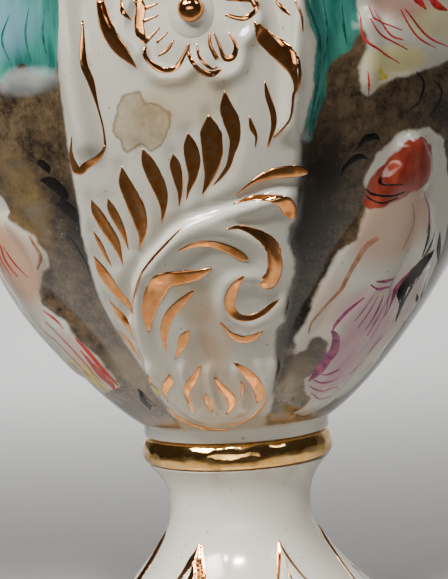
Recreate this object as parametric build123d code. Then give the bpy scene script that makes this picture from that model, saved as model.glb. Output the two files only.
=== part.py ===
from build123d import *
import math
import os

# Two-handled porcelain vase on a separate pedestal foot, held together by one bolt.
# Frame: +Z up, origin at the centre of the face it stands on, front panel towards -Y.
# Lengths are millimetres, angles are degrees. Heights called *_z are above the standing face.

# ---- Pedestal foot: hollow casting, open below, with a flat web at the top ----
FOOT_HEIGHT = 64.0
FOOT_BASE_RADIUS = 57.0
FOOT_PLINTH_HEIGHT = 6.0
FOOT_WAIST_RADIUS = 22.9
FOOT_WAIST_Z = 49.0
FOOT_FLANGE_RADIUS = 29.6
FOOT_WALL = 6.0
FOOT_WEB = 7.0
FOOT_INSIDE_START = 0.4  # share of the sweep's length where the cavity starts to follow it
LOBE_COUNT = 6
LOBE_RADIUS = 33.0
LOBE_TURN = 30.0  # the first lobe's angle from the front
# How far the foot's curves run along their end directions, as shares of their rise or width.
SWEEP_START_IN = 0.47
SWEEP_START_RISE = 0.32
SWEEP_END_RISE = 0.37
FLANGE_START_RISE = 0.55
FLANGE_END_OUT = 0.45
FLANGE_END_RISE = 0.22

# ---- Collar ring between the foot and the vase ----
COLLAR_HEIGHT = 7.6
COLLAR_RADIUS = 31.0
COLLAR_EDGE_RADIUS = 29.6
GASKET_THICKNESS = 0.6
GASKET_INSET = 1.4
SPIGOT_RADIUS = 16.0
SPIGOT_HEIGHT = 3.0
SPIGOT_CLEARANCE = 0.4

# ---- Vase: three hollow castings luted together before firing, with a closed floor ----
BODY_HEIGHT = 264.0
STUB_RADIUS = 29.9
STUB_HEIGHT = 3.6
BELLY_RADIUS = 96.5
BELLY_RISE = 124.0  # from the underside of the vase to its widest point
NECK_RADIUS = 34.5
NECK_RISE = 228.0
RIM_RADIUS = 50.0
BODY_WALL = 5.0
BODY_FLOOR = 7.0
FLOOR_FLAT_RADIUS = 19.0
BOWL_INSIDE_END = 0.17  # share of the bowl's length where its even wall meets the floor's curve
# How far each profile curve runs along its end directions, as shares of its rise or growth.
BOWL_START_GROWTH = 0.33
BOWL_START_RISE = 0.115
BOWL_END_RISE = 0.39
SHOULDER_START_RISE = 0.53
SHOULDER_END_RISE = 0.36
NECK_START_RISE = 0.45
NECK_END_GROWTH = 0.5
NECK_END_RISE = 0.3

# ---- Tie bolt and what it clamps ----
BOLT_RADIUS = 4.0
BOLT_LENGTH = 50.0
HEX_ACROSS_FLATS = 13.0
BOLT_HEAD_HEIGHT = 5.3
NUT_HEIGHT = 6.5
THREAD_CLEARANCE = 0.06
BOLT_HOLE_CLEARANCE = 1.0
WASHER_HOLE_CLEARANCE = 0.3
SEAL_HOLE_CLEARANCE = 0.1
INNER_SEAL_RADIUS = 15.0
INNER_SEAL_THICKNESS = 2.5
INNER_WASHER_RADIUS = 14.0
INNER_WASHER_THICKNESS = 1.6
LOWER_SEAL_RADIUS = 13.0
LOWER_SEAL_THICKNESS = 2.0
LOWER_WASHER_RADIUS = 12.0
LOWER_WASHER_THICKNESS = 1.6
LOCK_WASHER_RADIUS = 7.4
LOCK_WASHER_THICKNESS = 2.0
LOCK_WASHER_GAP = 1.2

# ---- Handles and applied rosettes ----
HANDLE_WIDTH = 11.0
HANDLE_DEPTH = 8.0
HANDLE_FOOT_RISE = 155.0  # its lower end, above the underside of the vase
HANDLE_TOP_DROP = 27.0  # its upper end, below the top of the rim
HANDLE_REACH = 11.0  # how far it stands outside the shoulder at its lower end
HANDLE_BEND_RISE = 0.3  # height of its widest point, as a share of its own height
HANDLE_CROWN_RISE = 0.1  # rise of its crown above its upper end, as the same share
HANDLE_CROWN_PULL = 0.6  # roundness of the crown, as a share of the radius at its upper end
ROSETTE_RISE = 122.5
ROSETTE_RADIUS = 8.5
ROSETTE_HEIGHT = 3.2
BEAD_RADIUS = 3.6
BEAD_SINK = 1.4  # how far the bead's centre lies under the top of the dome

# ---- Heights that follow from those sizes ----
COLLAR_Z = FOOT_HEIGHT + GASKET_THICKNESS
BODY_Z = COLLAR_Z + COLLAR_HEIGHT + GASKET_THICKNESS
FLOOR_Z = BODY_Z + BODY_FLOOR
HEAD_Z = FLOOR_Z + INNER_SEAL_THICKNESS + INNER_WASHER_THICKNESS
WEB_Z = FOOT_HEIGHT - FOOT_WEB
BOLT_HOLE_RADIUS = BOLT_RADIUS + BOLT_HOLE_CLEARANCE
SPIGOT_BORE_RADIUS = SPIGOT_RADIUS + SPIGOT_CLEARANCE


def point(radius, z):
    """A point of a half section, in the XZ plane."""
    return Vector(radius, 0, z)


def lathe(*edges):
    """Solid of revolution about Z from the closed half section that the edges make."""
    return revolve(make_face(Wire(list(edges))), Axis.Z)


def lathe_outline(*points):
    """Solid of revolution from a half section with straight sides."""
    return revolve(make_face(Polyline(*points, close=True)), Axis.Z)


def ring(outer, inner, z, height):
    """Flat ring standing on height z."""
    return lathe_outline(
        point(inner, z), point(outer, z), point(outer, z + height), point(inner, z + height)
    )


def inset_edge(edge, wall, first, last, count):
    """Edge inside an upward profile edge by the wall, from one share of its length to another."""
    found = []
    for i in range(count):
        share = first + (last - first) * i / (count - 1)
        along = edge.tangent_at(share)
        inward = Vector(-along.Z, 0, along.X)
        found.append(edge.position_at(share) + inward * wall)
    way = 1 if last > first else -1
    return Spline(*found, tangents=[edge.tangent_at(first) * way, edge.tangent_at(last) * way])


def bowl_edge():
    """The vase's outer profile from the top of its stub to its widest point."""
    start = point(STUB_RADIUS, BODY_Z + STUB_HEIGHT)
    end = point(BELLY_RADIUS, BODY_Z + BELLY_RISE)
    rise = BELLY_RISE - STUB_HEIGHT
    growth = BELLY_RADIUS - STUB_RADIUS
    leaving = start + point(BOWL_START_GROWTH * growth, BOWL_START_RISE * rise)
    arriving = end - point(0, BOWL_END_RISE * rise)
    return Bezier(start, leaving, arriving, end)


def shoulder_edge():
    """The vase's outer profile from its widest point to the waist of its neck."""
    start = point(BELLY_RADIUS, BODY_Z + BELLY_RISE)
    end = point(NECK_RADIUS, BODY_Z + NECK_RISE)
    rise = NECK_RISE - BELLY_RISE
    leaving = start + point(0, SHOULDER_START_RISE * rise)
    arriving = end - point(0, SHOULDER_END_RISE * rise)
    return Bezier(start, leaving, arriving, end)


def neck_edge():
    """The vase's outer profile from the waist of its neck to its flared rim."""
    start = point(NECK_RADIUS, BODY_Z + NECK_RISE)
    end = point(RIM_RADIUS, BODY_Z + BODY_HEIGHT - BODY_WALL / 2)
    rise, growth = end.Z - start.Z, RIM_RADIUS - NECK_RADIUS
    leaving = start + point(0, NECK_START_RISE * rise)
    arriving = end - point(NECK_END_GROWTH * growth, NECK_END_RISE * rise)
    return Bezier(start, leaving, arriving, end)


def body_envelope():
    """The vase as a filled solid, which the handles and rosettes are seated against."""
    top = BODY_Z + BODY_HEIGHT - BODY_WALL / 2
    return lathe(
        Line(point(0, BODY_Z), point(STUB_RADIUS, BODY_Z)),
        Line(point(STUB_RADIUS, BODY_Z), point(STUB_RADIUS, BODY_Z + STUB_HEIGHT)),
        bowl_edge(),
        shoulder_edge(),
        neck_edge(),
        Line(point(RIM_RADIUS, top), point(0, top)),
        Line(point(0, top), point(0, BODY_Z)),
    )


def vase_bowl():
    """Lower casting of the vase: an even wall, a thick floor and a spigot under it."""
    bowl = bowl_edge()
    inside = inset_edge(bowl, BODY_WALL, 1, BOWL_INSIDE_END, 9)
    floor_edge = point(FLOOR_FLAT_RADIUS, FLOOR_Z)
    floor_curve = Spline(inside @ 1, floor_edge, tangents=[inside % 1, (-1, 0, 0)])
    hull = lathe(
        Line(point(0, BODY_Z), point(STUB_RADIUS, BODY_Z)),
        Line(point(STUB_RADIUS, BODY_Z), point(STUB_RADIUS, BODY_Z + STUB_HEIGHT)),
        bowl,
        Line(bowl @ 1, inside @ 0),
        inside,
        floor_curve,
        Line(floor_edge, point(0, FLOOR_Z)),
        Line(point(0, FLOOR_Z), point(0, BODY_Z)),
    )
    spigot = lathe_outline(
        point(0, BODY_Z - SPIGOT_HEIGHT),
        point(SPIGOT_RADIUS, BODY_Z - SPIGOT_HEIGHT),
        point(SPIGOT_RADIUS, BODY_Z),
        point(0, BODY_Z),
    )
    return hull + spigot - bolt_hole(BODY_Z - SPIGOT_HEIGHT, FLOOR_Z)


def vase_shoulder():
    """Middle casting of the vase, luted on the bowl at its widest point."""
    shoulder = shoulder_edge()
    inside = inset_edge(shoulder, BODY_WALL, 1, 0, 9)
    return lathe(
        shoulder,
        Line(shoulder @ 1, inside @ 0),
        inside,
        Line(inside @ 1, shoulder @ 0),
    )


def vase_neck():
    """Upper casting of the vase, luted on the shoulder: a flared neck with a rounded lip."""
    neck = neck_edge()
    inside = inset_edge(neck, BODY_WALL, 1, 0, 5)
    lip_top = (neck @ 1 + inside @ 0) * 0.5 + (neck % 1) * (BODY_WALL / 2)
    return lathe(
        neck,
        ThreePointArc(neck @ 1, lip_top, inside @ 0),
        inside,
        Line(inside @ 1, neck @ 0),
    )


def bolt_hole(low, high):
    """Clearance hole for the tie bolt, cut a little past both faces."""
    past = 1.0
    return lathe_outline(
        point(0, low - past),
        point(BOLT_HOLE_RADIUS, low - past),
        point(BOLT_HOLE_RADIUS, high + past),
        point(0, high + past),
    )


def foot_profile():
    """The foot's outer profile from the top of its plinth to its flange."""
    plinth = point(FOOT_BASE_RADIUS, FOOT_PLINTH_HEIGHT)
    waist = point(FOOT_WAIST_RADIUS, FOOT_WAIST_Z)
    flange = point(FOOT_FLANGE_RADIUS, FOOT_HEIGHT)
    sweep_rise = FOOT_WAIST_Z - FOOT_PLINTH_HEIGHT
    sweep_in = FOOT_BASE_RADIUS - FOOT_WAIST_RADIUS
    flange_rise = FOOT_HEIGHT - FOOT_WAIST_Z
    leaving = plinth + point(-SWEEP_START_IN * sweep_in, SWEEP_START_RISE * sweep_rise)
    arriving = waist - point(0, SWEEP_END_RISE * sweep_rise)
    lower = Bezier(plinth, leaving, arriving, waist)
    above_waist = waist + point(0, FLANGE_START_RISE * flange_rise)
    flange_width = FOOT_FLANGE_RADIUS - FOOT_WAIST_RADIUS
    below_flange = flange - point(FLANGE_END_OUT * flange_width, FLANGE_END_RISE * flange_rise)
    upper = Bezier(waist, above_waist, below_flange, flange)
    return lower, upper


def pedestal_foot():
    """Waisted foot with a six-lobed plinth, hollow below its web, with a spigot on top."""
    lower, upper = foot_profile()
    base_edge = point(FOOT_BASE_RADIUS, 0)
    plinth = point(FOOT_BASE_RADIUS, FOOT_PLINTH_HEIGHT)
    flange = point(FOOT_FLANGE_RADIUS, FOOT_HEIGHT)
    hull = lathe(
        Line(point(0, 0), base_edge),
        Line(base_edge, plinth),
        lower,
        upper,
        Line(flange, point(0, FOOT_HEIGHT)),
        Line(point(0, FOOT_HEIGHT), point(0, 0)),
    )
    lobe_reach = FOOT_BASE_RADIUS - LOBE_RADIUS
    lobes = PolarLocations(lobe_reach, LOBE_COUNT, start_angle=LOBE_TURN - 90)
    foil = Circle(FOOT_FLANGE_RADIUS) + [spot * Circle(LOBE_RADIUS) for spot in lobes]
    hull &= extrude(foil, FOOT_HEIGHT)
    half_step = math.radians(180 / LOBE_COUNT)
    notch = lobe_reach * math.cos(half_step)
    notch += math.sqrt(LOBE_RADIUS**2 - (lobe_reach * math.sin(half_step)) ** 2)
    mouth_radius = notch - FOOT_WALL
    cavity_radius = FOOT_WAIST_RADIUS - FOOT_WALL
    inside = inset_edge(lower, FOOT_WALL, FOOT_INSIDE_START, 1, 6)
    low = (inside @ 0).Z - ((inside @ 0).X - mouth_radius) * (inside % 0).Z / (inside % 0).X
    cavity = lathe(
        Line(point(0, 0), point(mouth_radius, 0)),
        Bezier(point(mouth_radius, 0), point(mouth_radius, low), inside @ 0),
        inside,
        Line(point(cavity_radius, FOOT_WAIST_Z), point(cavity_radius, WEB_Z)),
        Line(point(cavity_radius, WEB_Z), point(0, WEB_Z)),
        Line(point(0, WEB_Z), point(0, 0)),
    )
    spigot = Pos(0, 0, FOOT_HEIGHT + SPIGOT_HEIGHT / 2) * Cylinder(SPIGOT_RADIUS, SPIGOT_HEIGHT)
    return hull - cavity + spigot - bolt_hole(WEB_Z, FOOT_HEIGHT + SPIGOT_HEIGHT)


def collar_ring():
    """Rounded ring that both spigots enter."""
    top = COLLAR_Z + COLLAR_HEIGHT
    low_edge = point(COLLAR_EDGE_RADIUS, COLLAR_Z)
    high_edge = point(COLLAR_EDGE_RADIUS, top)
    bulge = point(COLLAR_RADIUS, COLLAR_Z + 0.42 * COLLAR_HEIGHT)
    return lathe(
        Line(point(SPIGOT_BORE_RADIUS, COLLAR_Z), low_edge),
        ThreePointArc(low_edge, bulge, high_edge),
        Line(high_edge, point(SPIGOT_BORE_RADIUS, top)),
        Line(point(SPIGOT_BORE_RADIUS, top), point(SPIGOT_BORE_RADIUS, COLLAR_Z)),
    )


def gasket(z):
    """Thin cork ring that beds two castings on each other."""
    return ring(COLLAR_EDGE_RADIUS - GASKET_INSET, SPIGOT_BORE_RADIUS, z, GASKET_THICKNESS)


def hexagon_prism(z, height):
    """Hexagonal prism of the bolt's head and nut size."""
    corner_radius = HEX_ACROSS_FLATS / 2 / math.cos(math.radians(30))
    return Pos(0, 0, z) * extrude(RegularPolygon(corner_radius, 6), height)


def tie_bolt():
    """Hexagon-headed bolt, head inside the vase, pointing down through the foot's web."""
    shank = Pos(0, 0, HEAD_Z - BOLT_LENGTH / 2) * Cylinder(BOLT_RADIUS, BOLT_LENGTH)
    return hexagon_prism(HEAD_Z, BOLT_HEAD_HEIGHT) + shank


def clamp_stack():
    """Seal, washers and nut under the foot's web, from the top down, by name."""
    seal_z = WEB_Z - LOWER_SEAL_THICKNESS
    washer_z = seal_z - LOWER_WASHER_THICKNESS
    lock_z = washer_z - LOCK_WASHER_THICKNESS
    nut_z = lock_z - NUT_HEIGHT
    washer_hole = BOLT_RADIUS + WASHER_HOLE_CLEARANCE
    seal_hole = BOLT_RADIUS + SEAL_HOLE_CLEARANCE
    split_height = 2 * LOCK_WASHER_THICKNESS
    split = Box(LOCK_WASHER_RADIUS, LOCK_WASHER_GAP, split_height, align=(Align.MIN, Align.CENTER))
    nut_bore = Pos(0, 0, nut_z + NUT_HEIGHT / 2) * Cylinder(
        BOLT_RADIUS + THREAD_CLEARANCE, NUT_HEIGHT * 2
    )
    lock = ring(LOCK_WASHER_RADIUS, washer_hole, lock_z, LOCK_WASHER_THICKNESS)
    return {
        "lower_seal": ring(LOWER_SEAL_RADIUS, seal_hole, seal_z, LOWER_SEAL_THICKNESS),
        "lower_washer": ring(LOWER_WASHER_RADIUS, washer_hole, washer_z, LOWER_WASHER_THICKNESS),
        "lock_washer": lock - Pos(0, 0, lock_z) * split,
        "clamp_nut": hexagon_prism(nut_z, NUT_HEIGHT) - nut_bore,
    }


def head_stack():
    """Washer and seal under the bolt's head, inside the vase, by name."""
    washer_z = FLOOR_Z + INNER_SEAL_THICKNESS
    washer_hole = BOLT_RADIUS + WASHER_HOLE_CLEARANCE
    seal_hole = BOLT_RADIUS + SEAL_HOLE_CLEARANCE
    return {
        "inner_seal": ring(INNER_SEAL_RADIUS, seal_hole, FLOOR_Z, INNER_SEAL_THICKNESS),
        "inner_washer": ring(INNER_WASHER_RADIUS, washer_hole, washer_z, INNER_WASHER_THICKNESS),
    }


def radius_at(z):
    """Outer radius of the vase at a height between its stub and its rim."""
    level = Plane.XY.offset(z)
    return section(body_envelope(), section_by=level).bounding_box().size.X / 2


def handle(envelope):
    """Front handle: an oval bar that rises from the shoulder and bends in to the neck."""
    foot_z = BODY_Z + HANDLE_FOOT_RISE
    top_z = BODY_Z + BODY_HEIGHT - HANDLE_TOP_DROP
    shoulder_radius = radius_at(foot_z)
    neck_radius = radius_at(top_z)
    span = top_z - foot_z
    out = shoulder_radius + HANDLE_REACH
    rooted = -(shoulder_radius - HANDLE_DEPTH / 2)
    neck_end = -(neck_radius - BODY_WALL / 2)
    bend = Vector(0, -out, foot_z + HANDLE_BEND_RISE * span)
    crown = Vector(0, (neck_end - out) / 2, top_z + HANDLE_CROWN_RISE * span)
    low_pull = Vector(0, -HANDLE_REACH, HANDLE_BEND_RISE * span / 2)
    high_pull = Vector(0, 0, HANDLE_BEND_RISE * span)
    path = Wire([
        Bezier((0, rooted, foot_z), Vector(0, rooted, foot_z) + low_pull, bend - high_pull / 2, bend),
        Bezier(bend, bend + high_pull * 1.5, crown + Vector(0, HANDLE_CROWN_PULL * neck_end, 0), crown),
        Bezier(crown, crown - Vector(0, HANDLE_CROWN_PULL * neck_end, 0), (0, neck_end, top_z)),
    ])
    start = Plane(origin=path @ 0, x_dir=(1, 0, 0), z_dir=path % 0)
    bar = sweep(start * Ellipse(HANDLE_WIDTH / 2, HANDLE_DEPTH / 2), path=path)
    return bar - envelope


def rosette(envelope):
    """Applied front rosette: a low dome with a bead on it, seated on the vase."""
    z = BODY_Z + ROSETTE_RISE
    surface = radius_at(z)
    dome_radius = (ROSETTE_RADIUS**2 + ROSETTE_HEIGHT**2) / (2 * ROSETTE_HEIGHT)
    dome = Pos(0, -(surface + ROSETTE_HEIGHT - dome_radius), z) * Sphere(dome_radius)
    keep = Pos(0, -surface, z) * Rot(90, 0, 0) * Cylinder(ROSETTE_RADIUS, 4 * ROSETTE_HEIGHT)
    bead = Pos(0, -(surface + ROSETTE_HEIGHT - BEAD_SINK), z) * Sphere(BEAD_RADIUS)
    return (dome & keep) + bead - envelope


def largest(shape):
    """The main solid of a cut, without the crumbs that the cut left behind."""
    return max(shape.solids(), key=lambda solid: solid.volume)


def turned_to_back(shape):
    """The same piece on the far side of the vase."""
    return Rot(0, 0, 180) * shape


def all_nodes():
    """Every node by name."""
    envelope = body_envelope()
    front_handle = largest(handle(envelope))
    front_rosette = largest(rosette(envelope))
    return {
        "vase_bowl": vase_bowl(),
        "vase_shoulder": vase_shoulder(),
        "vase_neck": vase_neck(),
        "pedestal_foot": pedestal_foot(),
        "collar_ring": collar_ring(),
        "lower_gasket": gasket(FOOT_HEIGHT),
        "upper_gasket": gasket(BODY_Z - GASKET_THICKNESS),
        "tie_bolt": tie_bolt(),
        **head_stack(),
        **clamp_stack(),
        "handle_front": front_handle,
        "handle_back": turned_to_back(front_handle),
        "rosette_front": front_rosette,
        "rosette_back": turned_to_back(front_rosette),
    }


os.makedirs("parts", exist_ok=True)
for name, shape in all_nodes().items():
    export_step(shape, f"parts/{name}.step")
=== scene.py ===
"""Two-handled porcelain vase on a pedestal foot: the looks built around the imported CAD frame."""

import math

import bmesh
import bpy
import numpy as np
from mathutils import Matrix, Vector
from mathutils.bvhtree import BVHTree


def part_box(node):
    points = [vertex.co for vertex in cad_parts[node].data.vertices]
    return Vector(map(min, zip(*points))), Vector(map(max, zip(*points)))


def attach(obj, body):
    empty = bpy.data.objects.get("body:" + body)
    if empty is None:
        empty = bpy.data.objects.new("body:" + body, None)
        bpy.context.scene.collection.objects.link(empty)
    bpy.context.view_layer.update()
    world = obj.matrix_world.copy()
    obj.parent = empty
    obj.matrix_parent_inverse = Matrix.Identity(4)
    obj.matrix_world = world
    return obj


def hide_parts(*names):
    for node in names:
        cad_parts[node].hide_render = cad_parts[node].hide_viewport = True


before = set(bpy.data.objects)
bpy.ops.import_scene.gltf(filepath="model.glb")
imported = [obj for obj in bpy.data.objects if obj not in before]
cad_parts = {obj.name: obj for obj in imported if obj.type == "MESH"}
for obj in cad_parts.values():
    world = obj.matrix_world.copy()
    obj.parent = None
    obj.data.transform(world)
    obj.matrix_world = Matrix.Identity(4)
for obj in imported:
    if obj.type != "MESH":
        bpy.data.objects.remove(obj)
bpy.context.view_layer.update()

# Angles are degrees round the vase from the front, -Y, and grow towards +X. Sizes are millimetres,
# and MM turns them to metres as they enter a mesh.
MM = 0.001

# ---- Sizes that the frame's boxes don't give ----
STUB_RADIUS = 29.9
STUB_HEIGHT = 3.6
SPIGOT_RADIUS = 16.0
SPIGOT_HEIGHT = 3.0
NECK_RADIUS = 34.5
RIM_RADIUS = 50.0
BODY_WALL = 5.0
BODY_FLOOR = 7.0
FLOOR_FLAT_RADIUS = 19.0
BOLT_HOLE_RADIUS = 5.0
FOOT_PLINTH_HEIGHT = 6.0
FOOT_WAIST_RADIUS = 22.9
FOOT_WAIST_Z = 49.0
FOOT_WALL = 6.0
FOOT_WEB = 7.0
FOOT_BASE_RADIUS = 57.0
FOOT_FLANGE_RADIUS = 29.6
LOBE_COUNT = 6
LOBE_RADIUS = 33.0
LOBE_TURN = 30.0
COLLAR_EDGE_RADIUS = 29.6
COLLAR_BORE_RADIUS = 16.4


def span(node):
    """A CAD node's lowest and highest corners, in millimetres."""
    low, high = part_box(node)
    return np.array(low) / MM, np.array(high) / MM


bowl_low, bowl_high = span("vase_bowl")
neck_low, neck_high = span("vase_neck")
_, foot_high = span("pedestal_foot")
collar_low, collar_high = span("collar_ring")
BODY_Z = bowl_low[2] + SPIGOT_HEIGHT
FLOOR_Z = BODY_Z + BODY_FLOOR
BELLY_Z = bowl_high[2]
BELLY_RADIUS = bowl_high[0]
NECK_Z = neck_low[2]
LIP_Z = neck_high[2]
RIM_Z = LIP_Z - 0.8 * BODY_WALL
FOOT_TOP = foot_high[2] - SPIGOT_HEIGHT
WEB_Z = FOOT_TOP - FOOT_WEB


# ---- Curves, fields and meshes ----
def bezier(start, leaving, arriving, end, count=160):
    """Points along a cubic curve with those four control points."""
    t = np.linspace(0, 1, count)[:, None]
    a, b, c, d = (np.array(p, float) for p in (start, leaving, arriving, end))
    return (1 - t) ** 3 * a + 3 * (1 - t) ** 2 * t * b + 3 * (1 - t) * t**2 * c + t**3 * d


def smooth(low, high, value):
    """0 below low, 1 above high, and a smooth step between."""
    t = np.clip((value - low) / (high - low), 0, 1)
    return t * t * (3 - 2 * t)


class Wall:
    """A turned wall: its radius and run at each height, and the finished mesh that paint lies on."""

    def __init__(self, profile):
        """Takes the wall's outer profile as radius and height points, from the bottom up."""
        self.radii, self.heights = profile[:, 0], profile[:, 1]
        steps = np.hypot(np.diff(self.radii), np.diff(self.heights))
        self.runs = np.concatenate([[0], np.cumsum(steps)])
        self.tree = None

    def radius(self, z):
        """The turned wall's radius at a height."""
        return np.interp(z, self.heights, self.radii)

    def flat(self, spots):
        """Angles and heights as millimetres round and along the wall."""
        spots = np.array(spots, float)
        z = spots[..., 1]
        round_way = np.radians(spots[..., 0]) * self.radius(z)
        return np.stack([round_way, np.interp(z, self.heights, self.runs)], -1)

    def unflat(self, places):
        """Angles and heights of places given as millimetres round and along the wall."""
        z = np.interp(places[..., 1], self.runs, self.heights)
        return np.stack([np.degrees(places[..., 0] / self.radius(z)), z], -1)

    def hit(self, angle, z):
        """Where a level line towards the axis meets the finished mesh, in metres."""
        out = Vector((math.sin(math.radians(angle)), -math.cos(math.radians(angle)), 0))
        start = out * ((float(self.radius(z)) + 30) * MM) + Vector((0, 0, z * MM))
        found = self.tree.ray_cast(start, -out)
        return found[0], found[1]


def chain_distance(places, chain):
    """Distance to a run of straight pieces, and the share of the run where each place is nearest."""
    best = np.full(places.shape[:-1], 1e9)
    where = np.zeros(places.shape[:-1])
    count = len(chain) - 1
    for i in range(count):
        a, along = chain[i], chain[i + 1] - chain[i]
        t = np.clip(((places - a) @ along) / max(along @ along, 1e-9), 0, 1)
        d = np.linalg.norm(places - a - t[..., None] * along, axis=-1)
        where = np.where(d < best, (i + t) / count, where)
        best = np.minimum(best, d)
    return best, where


def inside_distance(places, outline):
    """Distance to a closed outline, above 0 inside it."""
    closed = np.concatenate([outline, outline[:1]])
    distance, _ = chain_distance(places, closed)
    x, y = places[..., 0], places[..., 1]
    inside = np.zeros(x.shape, bool)
    for (ax, ay), (bx, by) in zip(closed[:-1], closed[1:]):
        if ay != by:
            inside ^= ((ay > y) != (by > y)) & (x < (bx - ax) * (y - ay) / (by - ay) + ax)
    return np.where(inside, distance, -distance)


def rounded(points, count):
    """Points evenly along a Catmull-Rom curve through the given ones, with all their columns."""
    points = np.array(points, float)
    ends = [2 * points[:1] - points[1:2], points, 2 * points[-1:] - points[-2:-1]]
    p = np.concatenate(ends)
    t = np.linspace(0, len(points) - 1, count)
    i = np.minimum(t.astype(int), len(points) - 2)
    f = (t - i)[:, None]
    a, b, c, d = p[i], p[i + 1], p[i + 2], p[i + 3]
    curve = 2 * b + (c - a) * f + (2 * a - 5 * b + 4 * c - d) * f**2 + (3 * b - a - 3 * c + d) * f**3
    return curve / 2


def ridge(wall, places, chain, half_width, height):
    """Height of a rounded ridge along a chain of angles and heights, which may be a groove."""
    distance, _ = chain_distance(places, wall.flat(rounded(chain, 6 * len(chain))))
    return height * (1 - smooth(0, half_width, distance))


def limb(wall, places, chain, height):
    """Height of a full rounded form along a chain of angle, height and half width."""
    dense = rounded(chain, 5 * len(chain))
    distance, where = chain_distance(places, wall.flat(dense[:, :2]))
    half = np.interp(where, np.linspace(0, 1, len(dense)), dense[:, 2])
    return height * np.sqrt(np.clip(1 - (distance / half) ** 2, 0, 1)) * (distance < half)


def wire(bm, profile):
    """A closed wire of radius and height points, in the XZ plane."""
    verts = [bm.verts.new((r * MM, 0, z * MM)) for r, z in profile]
    return verts + [bm.edges.new((a, b)) for a, b in zip(verts, verts[1:] + verts[:1])]


def turn(profile, steps):
    """A bmesh turned about Z from a closed half section."""
    bm = bmesh.new()
    axis = (0, 0, 1)
    bmesh.ops.spin(bm, geom=wire(bm, profile), cent=(0, 0, 0), axis=axis, angle=math.tau,
                   steps=steps, use_merge=True)
    bmesh.ops.recalc_face_normals(bm, faces=bm.faces)
    return bm


def turn_round(bm, turned):
    """Turns a whole bmesh about the vase's axis by an angle."""
    about = Matrix.Rotation(math.radians(turned), 3, "Z")
    bmesh.ops.rotate(bm, verts=bm.verts, cent=(0, 0, 0), matrix=about)


def polar(bm):
    """Angle, radius and height of each vertex, in degrees and millimetres."""
    co = np.array([v.co for v in bm.verts]) / MM
    angle = np.degrees(np.arctan2(co[:, 0], -co[:, 1]))
    return angle, np.hypot(co[:, 0], co[:, 1]), co[:, 2]


def put_polar(bm, angle, radius, z):
    """Moves each vertex to an angle, a radius and a height."""
    turned = np.radians(angle)
    co = np.stack([radius * np.sin(turned), -radius * np.cos(turned), z], -1) * MM
    for vert, place in zip(bm.verts, co):
        vert.co = place


def piece(name, bm, material, body="vase", stands_for=()):
    """A finished object from a bmesh, smooth, riding on its body."""
    mesh = bpy.data.meshes.new(name)
    bm.to_mesh(mesh)
    bm.free()
    mesh.polygons.foreach_set("use_smooth", [True] * len(mesh.polygons))
    mesh.materials.append(material)
    made = bpy.data.objects.new(name, mesh)
    bpy.context.scene.collection.objects.link(made)
    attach(made, body)
    if stands_for:
        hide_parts(*stands_for)
    return made


def carry(made, name, values):
    """Gives a mesh one number, or one colour, per vertex, for its material to read."""
    values = np.asarray(values, np.float32)
    if values.ndim == 1:
        made.data.attributes.new(name, "FLOAT", "POINT").data.foreach_set("value", values)
    else:
        layer = made.data.attributes.new(name, "FLOAT_COLOR", "POINT")
        layer.data.foreach_set("color", values.ravel())


# ---- Materials ----
def linear(code):
    """An sRGB hex colour as linear numbers with full cover."""
    parts = [int(code[i : i + 2], 16) / 255 for i in (1, 3, 5)]
    return [p / 12.92 if p <= 0.04045 else ((p + 0.055) / 1.055) ** 2.4 for p in parts] + [1.0]


def add_node(tree, kind, settings=None, **links):
    """Adds a node. Settings name its properties or sockets. Links give each socket its source, which
    is another socket, a number or a hex colour."""
    node = tree.nodes.new(kind)
    for key, value in (settings or {}).items():
        if hasattr(node, key):
            setattr(node, key, value)
        else:
            spot = int(key[1:]) if key[0] == "#" else key
            node.inputs[spot].default_value = value
    for key, source in links.items():
        spot = int(key[1:]) if key[1:].isdigit() else key.replace("_", " ")
        if isinstance(source, bpy.types.NodeSocket):
            tree.links.new(source, node.inputs[spot])
        else:
            node.inputs[spot].default_value = linear(source) if isinstance(source, str) else source
    return node


# A Mix node's settings for colours: by share 0, colour 7 is laid over colour 6, and 2 comes out.
LAID_OVER = {"data_type": "RGBA"}


def new_material(name):
    """A material with a node tree, its shader and its object coordinates."""
    material = bpy.data.materials.new(name)
    material.use_nodes = True
    tree = material.node_tree
    shader = tree.nodes["Principled BSDF"]
    place = tree.nodes.new("ShaderNodeTexCoord").outputs["Object"]
    return material, tree, shader, place


def per_mm(size):
    """A pattern scale on object coordinates for features of that size."""
    return 1 / (size * MM)


def edge_mask(tree, name, wander, soft_mm):
    """1 inside a painted outline whose distances the mesh carries, with a wandering brush edge."""
    read = add_node(tree, "ShaderNodeAttribute", {"attribute_name": name})
    moved = add_node(tree, "ShaderNodeMath", {"operation": "ADD"}, _0=read.outputs["Fac"], _1=wander)
    limits = {"interpolation_type": "SMOOTHSTEP", "From Min": -soft_mm, "From Max": soft_mm}
    return add_node(tree, "ShaderNodeMapRange", limits, Value=moved.outputs[0]).outputs[0]


CLAY_COOL = "#C6C7BE"
CLAY_WARM = "#CDC7B6"
CLAY_SPECK = "#A39A8C"
CLAY_PATCH_MM = 45
CLAY_SPECK_MM = 1.6
CLAY_SPECK_RARITY = {"From Min": 0.72, "From Max": 0.8}
GLAZE_ROUGHNESS = 0.16
GLAZE_IOR = 1.5
GLAZE_COAT = 0.6
GLAZE_COAT_ROUGHNESS = 0.04
ORANGE_PEEL_MM = 9


def glazed_porcelain():
    """Slip-cast porcelain under a clear glaze: a warm grey-white with a wet, slightly uneven shine."""
    material, tree, shader, place = new_material("glazed_porcelain")
    glaze_finish(tree, shader, place, clay_colour(tree, place))
    return material


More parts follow.
